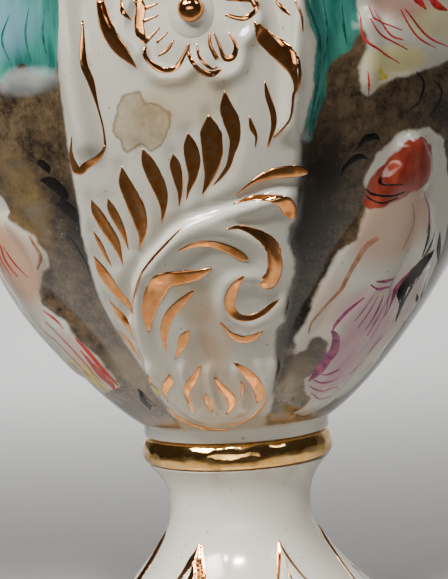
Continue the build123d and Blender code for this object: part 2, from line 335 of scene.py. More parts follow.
def clay_colour(tree, place):
    """The glazed body's own colour, a little warmer and cooler in broad patches."""
    patchy = {"Scale": per_mm(CLAY_PATCH_MM), "Detail": 2.0}
    broad = add_node(tree, "ShaderNodeTexNoise", patchy, Vector=place)
    dust = {"Scale": per_mm(CLAY_SPECK_MM), "Detail": 1.0}
    specks = add_node(tree, "ShaderNodeTexNoise", dust, Vector=place)
    few = add_node(tree, "ShaderNodeMapRange", CLAY_SPECK_RARITY, Value=specks.outputs["Fac"])
    patches = add_node(tree, "ShaderNodeMix", LAID_OVER, _0=broad.outputs["Fac"], _6=CLAY_COOL,
                       _7=CLAY_WARM).outputs[2]
    return add_node(tree, "ShaderNodeMix", LAID_OVER, _0=few.outputs[0], _6=patches,
                    _7=CLAY_SPECK).outputs[2]


def glaze_finish(tree, shader, place, colour):
    """A fired glaze over that colour, with the faint orange peel of a dipped glaze."""
    tree.links.new(colour, shader.inputs["Base Color"])
    shader.inputs["Roughness"].default_value = GLAZE_ROUGHNESS
    shader.inputs["IOR"].default_value = GLAZE_IOR
    shader.inputs["Coat Weight"].default_value = GLAZE_COAT
    shader.inputs["Coat Roughness"].default_value = GLAZE_COAT_ROUGHNESS
    orange_peel = {"Scale": per_mm(ORANGE_PEEL_MM), "Detail": 2.0}
    peel = add_node(tree, "ShaderNodeTexNoise", orange_peel, Vector=place)
    bump = add_node(tree, "ShaderNodeBump", {"Strength": 0.5, "Distance": 0.12 * MM},
                    Height=peel.outputs["Fac"])
    tree.links.new(bump.outputs["Normal"], shader.inputs["Normal"])


SPONGE_DAB_MM = 5.0
SPONGE_GRIT_MM = 0.9
BRUSH_WANDER_MM = 3.0
WANDER = {"operation": "MULTIPLY_ADD", "#1": 1.6, "#2": -0.8}  # a brush edge strays up to 0.8 mm
BRUSHED_STREAK_MM = 4.0
STREAK_STRETCH = (1.0, 1.0, 0.22)
# Each sponged colour has a darker partner, the same sponging in painted shade.
SPONGED_PALE, SPONGED_PALE_IN_PAINTED_SHADE = "#6A5842", "#241E16"
SPONGED_DARK, SPONGED_DARK_IN_PAINTED_SHADE = "#2C2218", "#080705"
SPONGED_GRAIN = "#85765E"
FOLIAGE_DEEP, FOLIAGE_LIGHT = "#1A5C54", "#459484"
STAIN_DEEP, STAIN_PALE, STAIN_RING = "#8A7450", "#AFA080", "#7A6040"
HAIR_DEEP, HAIR_LIGHT = "#74241A", "#A44A36"
GROUND_SOFT_MM, FOLIAGE_SOFT_MM, BARE_SOFT_MM, HAIR_SOFT_MM = 0.9, 0.5, 0.6, 0.4


def painted_porcelain():
    """Porcelain with sponged brown ground, brushed green and soft washes, all under the glaze, the ground
    darkened by painted shade beside the relief.
    """
    material, tree, shader, place = new_material("painted_porcelain")
    wash = add_node(tree, "ShaderNodeAttribute", {"attribute_name": "wash"})
    dabbing = {"Scale": per_mm(SPONGE_DAB_MM), "Detail": 6.0, "Roughness": 0.72}
    sponge = add_node(tree, "ShaderNodeTexNoise", dabbing, Vector=place)
    gritty = {"Scale": per_mm(SPONGE_GRIT_MM), "Detail": 3.0}
    grit = add_node(tree, "ShaderNodeTexNoise", gritty, Vector=place)
    unsteady = {"Scale": per_mm(BRUSH_WANDER_MM), "Detail": 2.0}
    brush = add_node(tree, "ShaderNodeTexNoise", unsteady, Vector=place)
    wander = add_node(tree, "ShaderNodeMath", WANDER, _0=brush.outputs["Fac"]).outputs[0]
    # Painted shade: the ground's sponging turns to its darker partners where the mesh carries shade.
    shade = add_node(tree, "ShaderNodeAttribute", {"attribute_name": "ground_painted_shade"})
    pale = add_node(tree, "ShaderNodeMix", LAID_OVER, _0=shade.outputs["Fac"], _6=SPONGED_PALE,
                    _7=SPONGED_PALE_IN_PAINTED_SHADE).outputs[2]
    dark = add_node(tree, "ShaderNodeMix", LAID_OVER, _0=shade.outputs["Fac"], _6=SPONGED_DARK,
                    _7=SPONGED_DARK_IN_PAINTED_SHADE).outputs[2]
    dabs = add_node(tree, "ShaderNodeMapRange", {"From Min": 0.36, "From Max": 0.62},
                    Value=sponge.outputs["Fac"])
    sponged = add_node(tree, "ShaderNodeMix", LAID_OVER, _0=dabs.outputs[0], _6=dark, _7=pale).outputs[2]
    grains = add_node(tree, "ShaderNodeMapRange", {"From Min": 0.56, "From Max": 0.7,
                      "To Max": 0.2}, Value=grit.outputs["Fac"])
    sponged = add_node(tree, "ShaderNodeMix", LAID_OVER, _0=grains.outputs[0], _6=sponged,
                       _7=SPONGED_GRAIN).outputs[2]
    stretched = add_node(tree, "ShaderNodeMapping", {"Scale": STREAK_STRETCH}, Vector=place)
    streaky = {"Scale": per_mm(BRUSHED_STREAK_MM), "Detail": 4.0}
    streaks = add_node(tree, "ShaderNodeTexNoise", streaky, Vector=stretched.outputs[0])
    laid = add_node(tree, "ShaderNodeMapRange", {"From Min": 0.34, "From Max": 0.66},
                    Value=streaks.outputs["Fac"])
    green = add_node(tree, "ShaderNodeMix", LAID_OVER, _0=laid.outputs[0], _6=FOLIAGE_DEEP,
                     _7=FOLIAGE_LIGHT).outputs[2]
    clay = clay_colour(tree, place)
    ground = edge_mask(tree, "ground_edge", wander, GROUND_SOFT_MM)
    leafy = edge_mask(tree, "green_edge", wander, FOLIAGE_SOFT_MM)
    bare = edge_mask(tree, "bare_edge", wander, BARE_SOFT_MM)
    hair = edge_mask(tree, "hair_edge", wander, HAIR_SOFT_MM)
    colour = add_node(tree, "ShaderNodeMix", LAID_OVER, _0=ground, _6=clay, _7=sponged).outputs[2]
    colour = add_node(tree, "ShaderNodeMix", LAID_OVER, _0=leafy, _6=colour, _7=green).outputs[2]
    colour = add_node(tree, "ShaderNodeMix", LAID_OVER, _0=bare, _6=colour, _7=clay).outputs[2]
    colour = add_node(tree, "ShaderNodeMix", LAID_OVER, _0=wash.outputs["Alpha"], _6=colour,
                      _7=wash.outputs["Color"]).outputs[2]
    stain = add_node(tree, "ShaderNodeAttribute", {"attribute_name": "stain_edge"})
    creep = add_node(tree, "ShaderNodeMath", {"operation": "ADD"}, _0=stain.outputs["Fac"], _1=wander)
    ringed = add_node(tree, "ShaderNodeMath", {"operation": "ABSOLUTE"}, _0=creep.outputs[0])
    ring_line = add_node(tree, "ShaderNodeMapRange", {"From Max": 0.55, "To Min": 0.75, "To Max": 0.0},
                         Value=ringed.outputs[0])
    soaked = add_node(tree, "ShaderNodeMapRange", {"From Min": -0.4, "From Max": 0.4, "To Max": 0.7},
                      Value=creep.outputs[0])
    blotch = add_node(tree, "ShaderNodeMix", LAID_OVER, _0=dabs.outputs[0], _6=STAIN_DEEP,
                      _7=STAIN_PALE).outputs[2]
    colour = add_node(tree, "ShaderNodeMix", LAID_OVER, _0=soaked.outputs[0], _6=colour,
                      _7=blotch).outputs[2]
    colour = add_node(tree, "ShaderNodeMix", LAID_OVER, _0=ring_line.outputs[0], _6=colour,
                      _7=STAIN_RING).outputs[2]
    hair_brush = add_node(tree, "ShaderNodeMix", LAID_OVER, _0=laid.outputs[0], _6=HAIR_DEEP,
                          _7=HAIR_LIGHT).outputs[2]
    colour = add_node(tree, "ShaderNodeMix", LAID_OVER, _0=hair, _6=colour, _7=hair_brush).outputs[2]
    glaze_finish(tree, shader, place, colour)
    return material


def liquid_gold(name, deep, pale, ripple_size=3.5, ripple_depth=0.12):
    """Bright gold lustre brushed on the glaze: a mirror with faint brush ripples and worn specks."""
    material, tree, shader, place = new_material(name)
    worn = add_node(tree, "ShaderNodeTexNoise", {"Scale": per_mm(2.2), "Detail": 5.0}, Vector=place)
    thin = add_node(tree, "ShaderNodeMapRange", {"From Min": 0.3, "From Max": 0.7},
                    Value=worn.outputs["Fac"])
    tone = add_node(tree, "ShaderNodeMix", LAID_OVER, _0=thin.outputs[0], _6=deep, _7=pale).outputs[2]
    tree.links.new(tone, shader.inputs["Base Color"])
    shader.inputs["Metallic"].default_value = 1.0
    rough = add_node(tree, "ShaderNodeMapRange", {"To Min": 0.04, "To Max": 0.14},
                     Value=worn.outputs["Fac"])
    tree.links.new(rough.outputs[0], shader.inputs["Roughness"])
    ripple = add_node(tree, "ShaderNodeTexNoise", {"Scale": per_mm(ripple_size), "Detail": 2.0}, Vector=place)
    bump = add_node(tree, "ShaderNodeBump", {"Strength": 0.6, "Distance": ripple_depth * MM},
                    Height=ripple.outputs["Fac"])
    tree.links.new(bump.outputs["Normal"], shader.inputs["Normal"])
    return material


def enamel(name, deep, thin):
    """Overglaze enamel drawn with a fine brush: denser where the stroke was loaded."""
    material, tree, shader, place = new_material(name)
    load = add_node(tree, "ShaderNodeTexNoise", {"Scale": per_mm(2.5), "Detail": 3.0}, Vector=place)
    cover = add_node(tree, "ShaderNodeMapRange", {"From Min": 0.35, "From Max": 0.7},
                     Value=load.outputs["Fac"])
    tone = add_node(tree, "ShaderNodeMix", LAID_OVER, _0=cover.outputs[0], _6=deep, _7=thin).outputs[2]
    tree.links.new(tone, shader.inputs["Base Color"])
    shader.inputs["Roughness"].default_value = 0.2
    shader.inputs["IOR"].default_value = 1.5
    bump = add_node(tree, "ShaderNodeBump", {"Strength": 0.5, "Distance": 0.05 * MM},
                    Height=load.outputs["Fac"])
    tree.links.new(bump.outputs["Normal"], shader.inputs["Normal"])
    return material


def zinc_steel():
    """Zinc-plated steel, rolled and tumbled: dull silver with fine grey scuffs."""
    material, tree, shader, place = new_material("zinc_plated_steel")
    scuffs = add_node(tree, "ShaderNodeTexNoise", {"Scale": per_mm(0.8), "Detail": 4.0}, Vector=place)
    tone = add_node(tree, "ShaderNodeMix", LAID_OVER, _0=scuffs.outputs["Fac"], _6="#8E9296",
                    _7="#C6C9CC").outputs[2]
    tree.links.new(tone, shader.inputs["Base Color"])
    shader.inputs["Metallic"].default_value = 1.0
    rough = add_node(tree, "ShaderNodeMapRange", {"To Min": 0.25, "To Max": 0.5},
                     Value=scuffs.outputs["Fac"])
    tree.links.new(rough.outputs[0], shader.inputs["Roughness"])
    bump = add_node(tree, "ShaderNodeBump", {"Strength": 0.4, "Distance": 0.03 * MM},
                    Height=scuffs.outputs["Fac"])
    tree.links.new(bump.outputs["Normal"], shader.inputs["Normal"])
    return material


def seal_rubber():
    """Moulded nitrile rubber: matt near-black with a chalky bloom."""
    material, tree, shader, place = new_material("nitrile_rubber")
    bloom = add_node(tree, "ShaderNodeTexNoise", {"Scale": per_mm(2.0), "Detail": 4.0}, Vector=place)
    tone = add_node(tree, "ShaderNodeMix", LAID_OVER, _0=bloom.outputs["Fac"], _6="#1C1C1C",
                    _7="#3A3836").outputs[2]
    tree.links.new(tone, shader.inputs["Base Color"])
    shader.inputs["Roughness"].default_value = 0.7
    bump = add_node(tree, "ShaderNodeBump", {"Strength": 0.5, "Distance": 0.05 * MM},
                    Height=bloom.outputs["Fac"])
    tree.links.new(bump.outputs["Normal"], shader.inputs["Normal"])
    return material


def cork():
    """Pressed cork sheet: tan grains a millimetre or two across with dark gaps."""
    material, tree, shader, place = new_material("pressed_cork")
    grains = add_node(tree, "ShaderNodeTexVoronoi", {"Scale": per_mm(1.4)}, Vector=place)
    tone = add_node(tree, "ShaderNodeMix", LAID_OVER, _0=grains.outputs["Distance"], _6="#B98F60",
                    _7="#6B4B2C").outputs[2]
    tree.links.new(tone, shader.inputs["Base Color"])
    shader.inputs["Roughness"].default_value = 0.85
    bump = add_node(tree, "ShaderNodeBump", {"Strength": 0.6, "Distance": 0.1 * MM},
                    Height=grains.outputs["Distance"])
    tree.links.new(bump.outputs["Normal"], shader.inputs["Normal"])
    return material


PORCELAIN = glazed_porcelain()
PAINTED = painted_porcelain()
GOLD = liquid_gold("liquid_gold", "#E8924E", "#F6B478")
COLLAR_GOLD = liquid_gold("burnished_gold", "#E8AC58", "#F8D08C", 9.0, 1.6)
ENAMELS = {
    "black": enamel("black_enamel", "#0B0A08", "#1E1A16"),
    "brown": enamel("brown_enamel", "#93614A", "#B88C72"),
    "red": enamel("iron_red_enamel", "#A8262A", "#C8403C"),
    "purple": enamel("purple_enamel", "#6E2A52", "#A85A80"),
    "teal": enamel("dark_teal_enamel", "#144C4A", "#2C7A74"),
    "yellow": enamel("yellow_enamel", "#C8B83C", "#DCD468"),
}
STEEL, RUBBER, CORK = zinc_steel(), seal_rubber(), cork()


# ---- The vase's body ----
bowl = bezier(
    (STUB_RADIUS, BODY_Z + STUB_HEIGHT),
    (STUB_RADIUS + 0.33 * (BELLY_RADIUS - STUB_RADIUS),
     BODY_Z + STUB_HEIGHT + 0.115 * (BELLY_Z - BODY_Z - STUB_HEIGHT)),
    (BELLY_RADIUS, BELLY_Z - 0.39 * (BELLY_Z - BODY_Z - STUB_HEIGHT)),
    (BELLY_RADIUS, BELLY_Z),
)
shoulder = bezier(
    (BELLY_RADIUS, BELLY_Z),
    (BELLY_RADIUS, BELLY_Z + 0.53 * (NECK_Z - BELLY_Z)),
    (NECK_RADIUS, NECK_Z - 0.36 * (NECK_Z - BELLY_Z)),
    (NECK_RADIUS, NECK_Z),
)
neck = bezier(
    (NECK_RADIUS, NECK_Z),
    (NECK_RADIUS, NECK_Z + 0.45 * (RIM_Z - NECK_Z)),
    (RIM_RADIUS - 0.5 * (RIM_RADIUS - NECK_RADIUS), RIM_Z - 0.3 * (RIM_Z - NECK_Z)),
    (RIM_RADIUS, RIM_Z),
)
BODY = Wall(np.concatenate([bowl, shoulder[1:], neck[1:]]))


def inward(line, distance):
    """A profile line moved towards its own left by a distance."""
    along = np.gradient(line, axis=0)
    along /= np.linalg.norm(along, axis=1)[:, None]
    return line + distance * np.stack([-along[:, 1], along[:, 0]], -1)


RELIEF_ROWS_END_Z = 216
RELIEF_ROW_STEP = 1.3
PLAIN_ROWS = 46
INNER_ROWS = 26
FLOOR_CURVE = 12.0  # how far the inner wall's curve into the floor reaches
LIP_HALF_TURN = 62
STUB_EASE = 0.4


def body_profile():
    """The body's closed half section, closely spaced where its relief is."""
    relief_rows = np.arange(BODY_Z + STUB_HEIGHT, RELIEF_ROWS_END_Z, RELIEF_ROW_STEP)
    plain_rows = np.linspace(RELIEF_ROWS_END_Z + 1, RIM_Z, PLAIN_ROWS)
    rows = np.concatenate([relief_rows, plain_rows])
    outer = np.stack([BODY.radius(rows), rows], -1)
    inner = inward(np.concatenate([bowl, shoulder[1:], neck[1:]]), BODY_WALL)
    inner = inner[inner[:, 1] > FLOOR_Z + FLOOR_CURVE][::-1][:: len(inner) // INNER_ROWS]
    middle = (outer[-1] + inner[0]) / 2
    turned = np.radians(np.linspace(-LIP_HALF_TURN, LIP_HALF_TURN, 5))
    across = (outer[-1] - inner[0]) / 2
    up = np.array([-across[1], across[0]])
    lip = [middle - across * math.sin(a) + up * math.cos(a) for a in turned]
    floor_edge = (FLOOR_FLAT_RADIUS, FLOOR_Z)
    last = inner[-1]
    floor = bezier(last, last + (inner[-1] - inner[-2]) * 1.2, (FLOOR_FLAT_RADIUS + FLOOR_CURVE, FLOOR_Z),
                   floor_edge, 9)[1:]
    under = [(BOLT_HOLE_RADIUS, FLOOR_Z), (BOLT_HOLE_RADIUS, bowl_low[2]),
             (SPIGOT_RADIUS, bowl_low[2]), (SPIGOT_RADIUS, BODY_Z),
             (STUB_RADIUS - STUB_EASE, BODY_Z), (STUB_RADIUS, BODY_Z + STUB_EASE)]
    return np.concatenate([under, outer, lip, inner, floor])


BODY_STEPS = 440
FRONT_DENSITY = 0.17  # crowds the steps towards the front and the back, where the relief is

PANEL = (
    (-20, 200), (-20.4, 194), (-21.9, 187), (-22.4, 177.3), (-22.7, 169.5), (-23.3, 162), (-24, 153.3),
    (-25, 144), (-25.9, 139.7), (-27.1, 130), (-28.3, 121), (-28, 111.5), (-26.6, 102.6), (-25.4, 96),
    (-25.6, 88), (-27, 79), (-27, 70), (19.6, 70), (19.6, 76), (18.2, 81), (18.5, 86.5), (17.1, 91.5),
    (16.7, 98), (15.3, 104.6), (15.2, 109.4), (16.9, 111.7), (16.7, 116.4), (17, 121), (17.8, 125),
    (17.4, 129.5), (15.8, 134), (15.7, 138.5), (16.8, 140), (17, 147), (17, 159.6), (16.6, 161.5),
    (17.3, 165), (18.5, 174), (18.6, 182), (19, 185.5), (17.8, 190), (16.5, 197), (17, 208),
    (16, 224), (12, 240), (6, 252), (0, 257), (-6, 252), (-12, 240), (-16, 224), (-18, 210),
)
GREEN = (
    (-12, 230), (-20.3, 200), (-20.5, 194), (-21.8, 188), (-22.6, 185), (-23.3, 181.5), (-25.5, 181.8),
    (-27.5, 183), (-29.2, 186.3), (-31, 184.5), (-33.5, 182), (-36, 181), (-45, 183), (-60, 186),
    (-130, 184), (-130, 285), (-10, 285),
)
TREE = (
    (12, 230), (16.5, 197), (17.8, 190), (19, 185.5), (18.6, 182), (18.5, 174), (17.3, 165), (16.6, 161.5),
    (18.9, 160.2), (19.2, 164), (20.2, 168.5), (21, 172.5), (20.8, 177), (21.8, 181), (23.2, 181.8),
    (25.2, 184), (26, 187.5), (30, 192), (52, 184), (62, 183), (75, 186), (130, 184),
    (130, 285), (10, 285),
)
CLOTH = (
    (26.3, 203), (26.2, 190), (27.6, 186), (27, 182), (26.4, 178.5), (27.2, 173), (28.5, 171.5),
    (29.8, 173.5), (32.5, 176), (36, 177), (40.3, 178.8), (45, 181), (52, 184), (57, 192), (55, 205),
    (47, 215), (36, 217), (29, 211),
)
RIGHT_FIGURE = (
    (32, 144.5), (31, 137.5), (30.6, 133.6), (27.2, 130.5), (25.5, 124.4), (24, 119.6), (22.9, 113.8),
    (22, 109.3), (20.4, 107), (21.6, 101.5), (24.1, 102.6), (24.8, 106.2), (27.2, 106.6), (29.8, 104.6),
    (31.1, 99.3), (29.6, 95.6), (26.7, 93.3), (28.4, 89.5), (32.8, 86.5), (31.5, 81.3), (40, 80),
    (52, 82), (60, 90), (66, 102), (67, 116), (63, 130), (57, 142), (51, 152), (47.5, 160), (42, 163.5),
    (36.5, 162.5), (32, 157), (30, 150),
)
LEFT_FIGURE = (
    (-43, 147), (-43.5, 145), (-38.4, 139), (-37.7, 134.3), (-38.8, 130.5), (-40.5, 129.3),
    (-45.6, 123.3), (-46.8, 119), (-42, 114), (-42, 108.4), (-38.5, 102.5), (-38.9, 96), (-41, 92.6),
    (-51.5, 90), (-62, 92), (-68, 104), (-70, 120), (-66, 135), (-60, 150), (-57, 160), (-50, 162),
    (-45, 155),
)
HAIR = (
    ((37, 160), (41, 161), (44.5, 158.5), (45.8, 152.5), (45.5, 149), (41.5, 146.5), (37.5, 144.2),
     (34.5, 142), (32, 142), (30.6, 143.5), (31, 148), (31.8, 151), (33.6, 153.5), (35.5, 157)),
    ((-48, 158), (-53, 160), (-57, 155), (-56, 149), (-51, 147.5), (-48, 150)),
)
# Where tea has crept under the crazed glaze.
STAINS = (
    ((-11.6, 175), (-8.8, 175.4), (-8.2, 172.5), (-6.6, 170.5), (-5.4, 167.5), (-5.4, 164.5),
     (-6.4, 161.5), (-8.4, 160.6), (-9.8, 162.4), (-12.6, 160.3), (-13.2, 163.5), (-14.2, 166.5),
     (-13.4, 169), (-12.9, 172)),
    ((-9.4, 172.6), (-6.6, 172), (-4.4, 169.6), (-4.6, 166), (-7, 164.5), (-9.6, 166.5)),
)
# Rounded relief forms: angle, height and half width along each, and how far it stands out.
LIMBS = (
    (4.2, ((39.5, 156, 6), (40.5, 152, 8), (38, 147, 7))),
    (3.6, ((40, 146, 8), (39, 136, 11), (37, 124, 10.5), (36.5, 114, 10))),
    (4.4, ((37, 118, 11), (37, 106, 13), (35, 95, 13), (34, 87, 9))),
    (2.6, ((35, 137, 5), (31, 129, 5), (28, 120, 4.2), (25, 112, 4), (23.3, 107, 3.4), (22.3, 103.5, 2.6))),
    (3.0, ((45, 140, 7), (51, 130, 7), (55, 118, 6.5), (53, 106, 7))),
    (2.4, ((46, 112, 8), (53, 100, 8), (50, 90, 7))),
    (1.4, ((29.5, 103, 3), (33, 97, 4), (30, 92.5, 3))),
    (3.8, ((-51, 157, 6), (-52.5, 153, 7.5), (-51, 149, 6))),
    (3.8, ((-52, 145, 8), (-52, 132, 11), (-52.5, 120, 10), (-53, 112, 9))),
    (2.4, ((-44, 143, 3.5), (-41.5, 136, 4.4), (-43, 129, 4.2), (-48, 123, 4))),
    (3.4, ((-49, 117, 7), (-47, 107, 9), (-46, 98, 8.5), (-48, 92, 6))),
    (2.6, ((-60, 128, 7), (-63, 114, 8), (-59, 100, 8))),
    (3.0, ((31, 203, 7), (38, 199, 12), (46, 195, 11), (52, 192, 8))),
    (2.2, ((28, 190, 4), (28.6, 182, 4), (28.2, 175, 2.8))),
    (1.8, ((33, 186, 7), (42, 186, 6), (50, 188, 5))),
    (1.2, ((36, 176, 1.6), (38, 171, 1.8), (41, 164, 1.6), (46, 160, 1.2))),
    (1.5, ((17.5, 196, 3), (18.6, 184, 2.8), (18.4, 172, 2.2), (17.6, 163, 1.8))),
    (1.2, ((-24, 181, 2.4), (-27, 180, 3), (-31, 181.5, 3), (-34, 179, 2.4))),
    (0.9, ((-34, 161, 1.6), (-36.5, 161.5, 2), (-38.5, 160.5, 1.5))),
    (0.9, ((-33.5, 150, 1.6), (-36, 148.5, 2.4), (-38, 147.5, 1.6))),
    (1.6, ((-24, 95, 2.2), (-29, 90, 3), (-34, 88, 3))),
    (1.3, ((24, 97, 2.4), (22, 92, 3), (24, 86, 2.6))),
    (1.6, ((60, 176, 5), (66, 168, 7), (72, 158, 6))),
    (1.6, ((-60, 176, 5), (-66, 166, 7), (-71, 156, 6))),
)
# Ridges, and grooves where the height is below 0: half width, height and the angles and heights.
RIDGES = (
    (5.5, 2.4, ((-19.3, 236), (-19.5, 216), (-19.6, 200), (-19.3, 185), (-19.2, 172), (-19.2, 163))),
    (4.6, 2.2, ((15.3, 236), (15.8, 216), (15.8, 200), (15.6, 186), (15.2, 174), (14.5, 164))),
    (3.4, -1.3, ((15.5, 149), (12, 148.8), (5, 145.5), (-5, 141.5), (-11, 135), (-18, 126), (-22, 116))),
    (4.2, 1.7, ((14, 146), (6, 143.5), (-3, 140), (-9, 134.5), (-15, 127), (-18.5, 117), (-20.5, 106),
                (-20.5, 96))),
    (4.4, 1.7, ((-12, 127), (-9, 131), (-4, 136), (3, 138), (9, 134.5), (11.8, 129), (11.4, 124))),
    (3.2, 1.3, ((8, 125), (3.5, 124), (1.6, 119), (2.6, 114), (7, 111), (12, 112.5), (15.5, 117))),
    (6.5, -1.0, ((-2, 122), (-3, 112), (-3, 103))),
    (3.4, 1.4, ((-22, 99), (-19.5, 90), (-14, 82.5), (-6, 79.5), (2, 79.5), (10, 83), (14.5, 90),
                (15.5, 99))),
    (2.2, 1.2, ((-12, 99), (-13, 92), (-11.5, 86))),
    (2.2, 1.2, ((-4, 98), (-4.5, 91), (-4, 85))),
    (2.2, 1.2, ((4, 98), (6, 91), (5.5, 85.5))),
    (2.2, 1.2, ((11, 99), (13, 93), (12.5, 88))),
    (2.6, 1.0, ((-8, 184), (-6, 179), (-2, 178.5), (1, 182), (3, 177.5), (7, 180), (7.5, 187))),
    (2.6, 1.3, ((-9, 200), (-10.5, 192), (-8, 186))),
    (2.6, 1.3, ((8, 201), (10, 193), (8.5, 187))),
    (3.0, 0.8, ((-14, 201), (-12.5, 192), (-9.5, 184))),
    (3.4, 0.7, ((10.5, 191), (13.5, 184.5), (15.5, 176))),
    (4.0, 1.8, ((-15, 238), (-9, 249), (0, 253), (9, 249), (15, 238))),
    (2.8, 1.5, ((-6, 232), (-3, 240), (0, 243), (3, 240), (6, 232))),
    (2.0, 1.0, ((-9, 224), (-6, 214), (-3, 208))),
    (2.0, 1.0, ((9, 224), (6, 214), (3, 208))),
)
# Drapery folds on the figures, each a narrow ridge.
FOLDS = (
    ((44, 117), (40, 108), (34, 99), (31, 94)), ((46, 113), (43, 103), (38, 94), (34, 88)),
    ((38, 119), (34, 112), (31, 107)), ((50, 108), (47, 98), (42, 89)),
    ((55, 128), (51, 116), (50, 106)), ((60, 118), (57, 106), (54, 96)),
    ((-44, 112), (-41.5, 103), (-40, 95)), ((-48, 114), (-45, 105), (-43.5, 95)),
    ((-53, 112), (-49, 102), (-48, 93)), ((-60, 118), (-56, 106), (-54, 96)),
    ((29, 208), (33, 198), (40, 189)), ((34, 212), (39, 202), (47, 192)),
    ((42, 212), (46, 204), (52, 197)),
)
# Gold strokes: angle, height and the stroke's width in millimetres at each point.
FEATHERS = (
    ((4.4, 174.5, .2), (4.6, 170, 3.2), (5.3, 166.5, 3.9), (5.7, 162, 2.6), (5.1, 158.4, 1.6),
     (4.4, 155.2, 1.2), (2.9, 152.3, .8), (1.7, 150.6, .2)),
    ((1.7, 168.7, .2), (1.8, 164.5, 4.8), (2, 160.5, 5.3), (1.7, 156.5, 4.4), (1, 152.5, 2.2),
     (-.5, 148, .2)),
    ((-1.9, 164.4, .2), (-1.7, 161, 3.2), (-1.5, 157, 3.8), (-1.8, 153, 2.2), (-2.8, 149.6, 1),
     (-3.4, 147, .2)),
    ((-4.7, 159.2, .2), (-4.6, 156.5, 2.6), (-4.4, 152.8, 2.4), (-4.4, 149, 1.2), (-4.9, 145.4, .2)),
    ((-9.8, 161, .3), (-9.3, 158, 2.9), (-8.5, 154, 3.8), (-7.7, 149.5, 3.4), (-7.8, 145, 1.6),
     (-8.7, 141, .2)),
    ((-14, 156.8, .2), (-14, 153, 3), (-13.4, 149.3, 4), (-12.7, 145, 4.4), (-12.7, 140.5, 3.2),
     (-13.2, 137.5, 1.5), (-14.4, 134.3, .2)),
    ((-18, 148.6, .2), (-17.8, 146, 2.2), (-17.2, 142.5, 2.4), (-16.7, 138.5, 1.5), (-16.6, 134.5, .2)),
    ((-21.4, 148.6, .2), (-21, 145.6, 2.6), (-20, 141, 3.2), (-19, 136.8, 2.6), (-18.8, 133.2, 1.2),
     (-18.9, 130.3, .2)),
    ((-23, 140.2, .2), (-22.5, 136.6, 1.4), (-22.1, 133, 1.1), (-21.6, 130.2, .2)),
    ((-24.9, 133.2, .2), (-24.3, 129.2, 2.6), (-23.3, 125.2, 2.9), (-22.1, 120.6, 1.8), (-21, 115.8, .2)),
    ((-25.6, 120.2, .2), (-24.6, 116.4, 1.7), (-23.5, 112.4, 1.5), (-23.4, 107.8, .2)),
    ((-27, 111.2, .2), (-25.8, 107.8, 1.2), (-25.1, 104.6, .8), (-24.8, 101.7, .2)),
)
CREST = (
    ((-13.7, 199.5, 2), (-13.1, 193.3, 3.4), (-11.9, 188.6, 3.6), (-10.6, 185.5, 3), (-8.9, 181.6, .3)),
    ((-16.8, 194.6, .5), (-17.1, 184.3, 1.4), (-16.5, 179.1, 1.5), (-16.1, 173, .6), (-15.8, 167.2, .5),
     (-16, 162.3, .6)),
    ((-16, 162.5, .6), (-16.6, 161, .8), (-18.1, 159.1, 1.3), (-20.4, 157.5, 2), (-21.9, 156.3, 2.2),
     (-22.8, 157.6, 2.6), (-22.8, 161.2, 1.6), (-21.4, 165.4, .3)),
    ((-7.8, 198.8, 2), (-7.5, 196.3, 2.3), (-7.9, 193.2, 2.3), (-7.8, 190.1, 2.2), (-7, 187.4, .6)),
    ((-4.8, 197.3, .3), (-7, 196.2, 1)),
    ((-4.9, 194.3, .3), (-7.4, 193, 1)),
    ((-4.8, 191.2, .3), (-7, 188, 1)),
    ((-10.4, 199, .8), (-10.1, 195.8, 1.3), (-9.1, 193.8, .3)),
    ((-7.1, 186.9, .5), (-7.2, 184, 1), (-5.4, 180.9, 1.4), (-3.1, 180.6, 1.3), (-1.3, 184.2, .9),
     (-.6, 186.9, .4)),
    ((-3.6, 189.9, .3), (-5.5, 187.4, .6)),
    ((-2.8, 187.9, .3), (-3.9, 185.5, .8), (-5.4, 184.1, .3)),
    ((-.6, 186.9, .4), (-.7, 183.8, .9), (.5, 180.2, 1.2), (2.4, 178.6, 1.6), (4.1, 179.7, .5)),
    ((.6, 186.8, .4), (.9, 183, .8), (2.4, 180.2, .8), (3.6, 180.4, .3)),
    ((2.6, 189.3, .4), (2.6, 186, .9), (3.5, 182.4, 1.2)),
    ((3.2, 189.3, .4), (3.9, 186, .7), (4.7, 182.4, 1.2), (6, 182.8, 1.4), (6.4, 185.6, .9),
     (5.4, 189.1, .4)),
    ((5.1, 193.4, .8), (7.4, 192.2, 1.2), (9, 193, 1.2), (10, 195, .8)),
    ((5.3, 197.3, .8), (7.4, 197, 1), (9, 196.6, 1.4), (9.8, 195, 2)),
    ((9.2, 191.4, .3), (10.5, 187.8, 3.4), (12.3, 184.9, 4.4), (14, 182, 4.4), (15.1, 177.9, 3),
     (15.2, 173.8, 1.2), (14.8, 172.2, .7), (14.4, 166.7, .5), (13, 163.3, .5), (12.1, 162, .3)),
    ((12.6, 196.9, .5), (13.7, 194.2, 1), (14.6, 192.3, .3)),
    ((15.2, 196.2, .4), (16.1, 192, .6), (16.3, 188, .3)),
    ((10.7, 176.3, .3), (11.1, 172.7, 1.3), (11.9, 168.5, 1.5), (12, 164.5, 1.2), (11.1, 159.6, .4)),
    ((8.1, 167.7, .3), (8.6, 164.6, 1.4), (9.2, 162.3, .7), (9, 159.7, .3)),
)
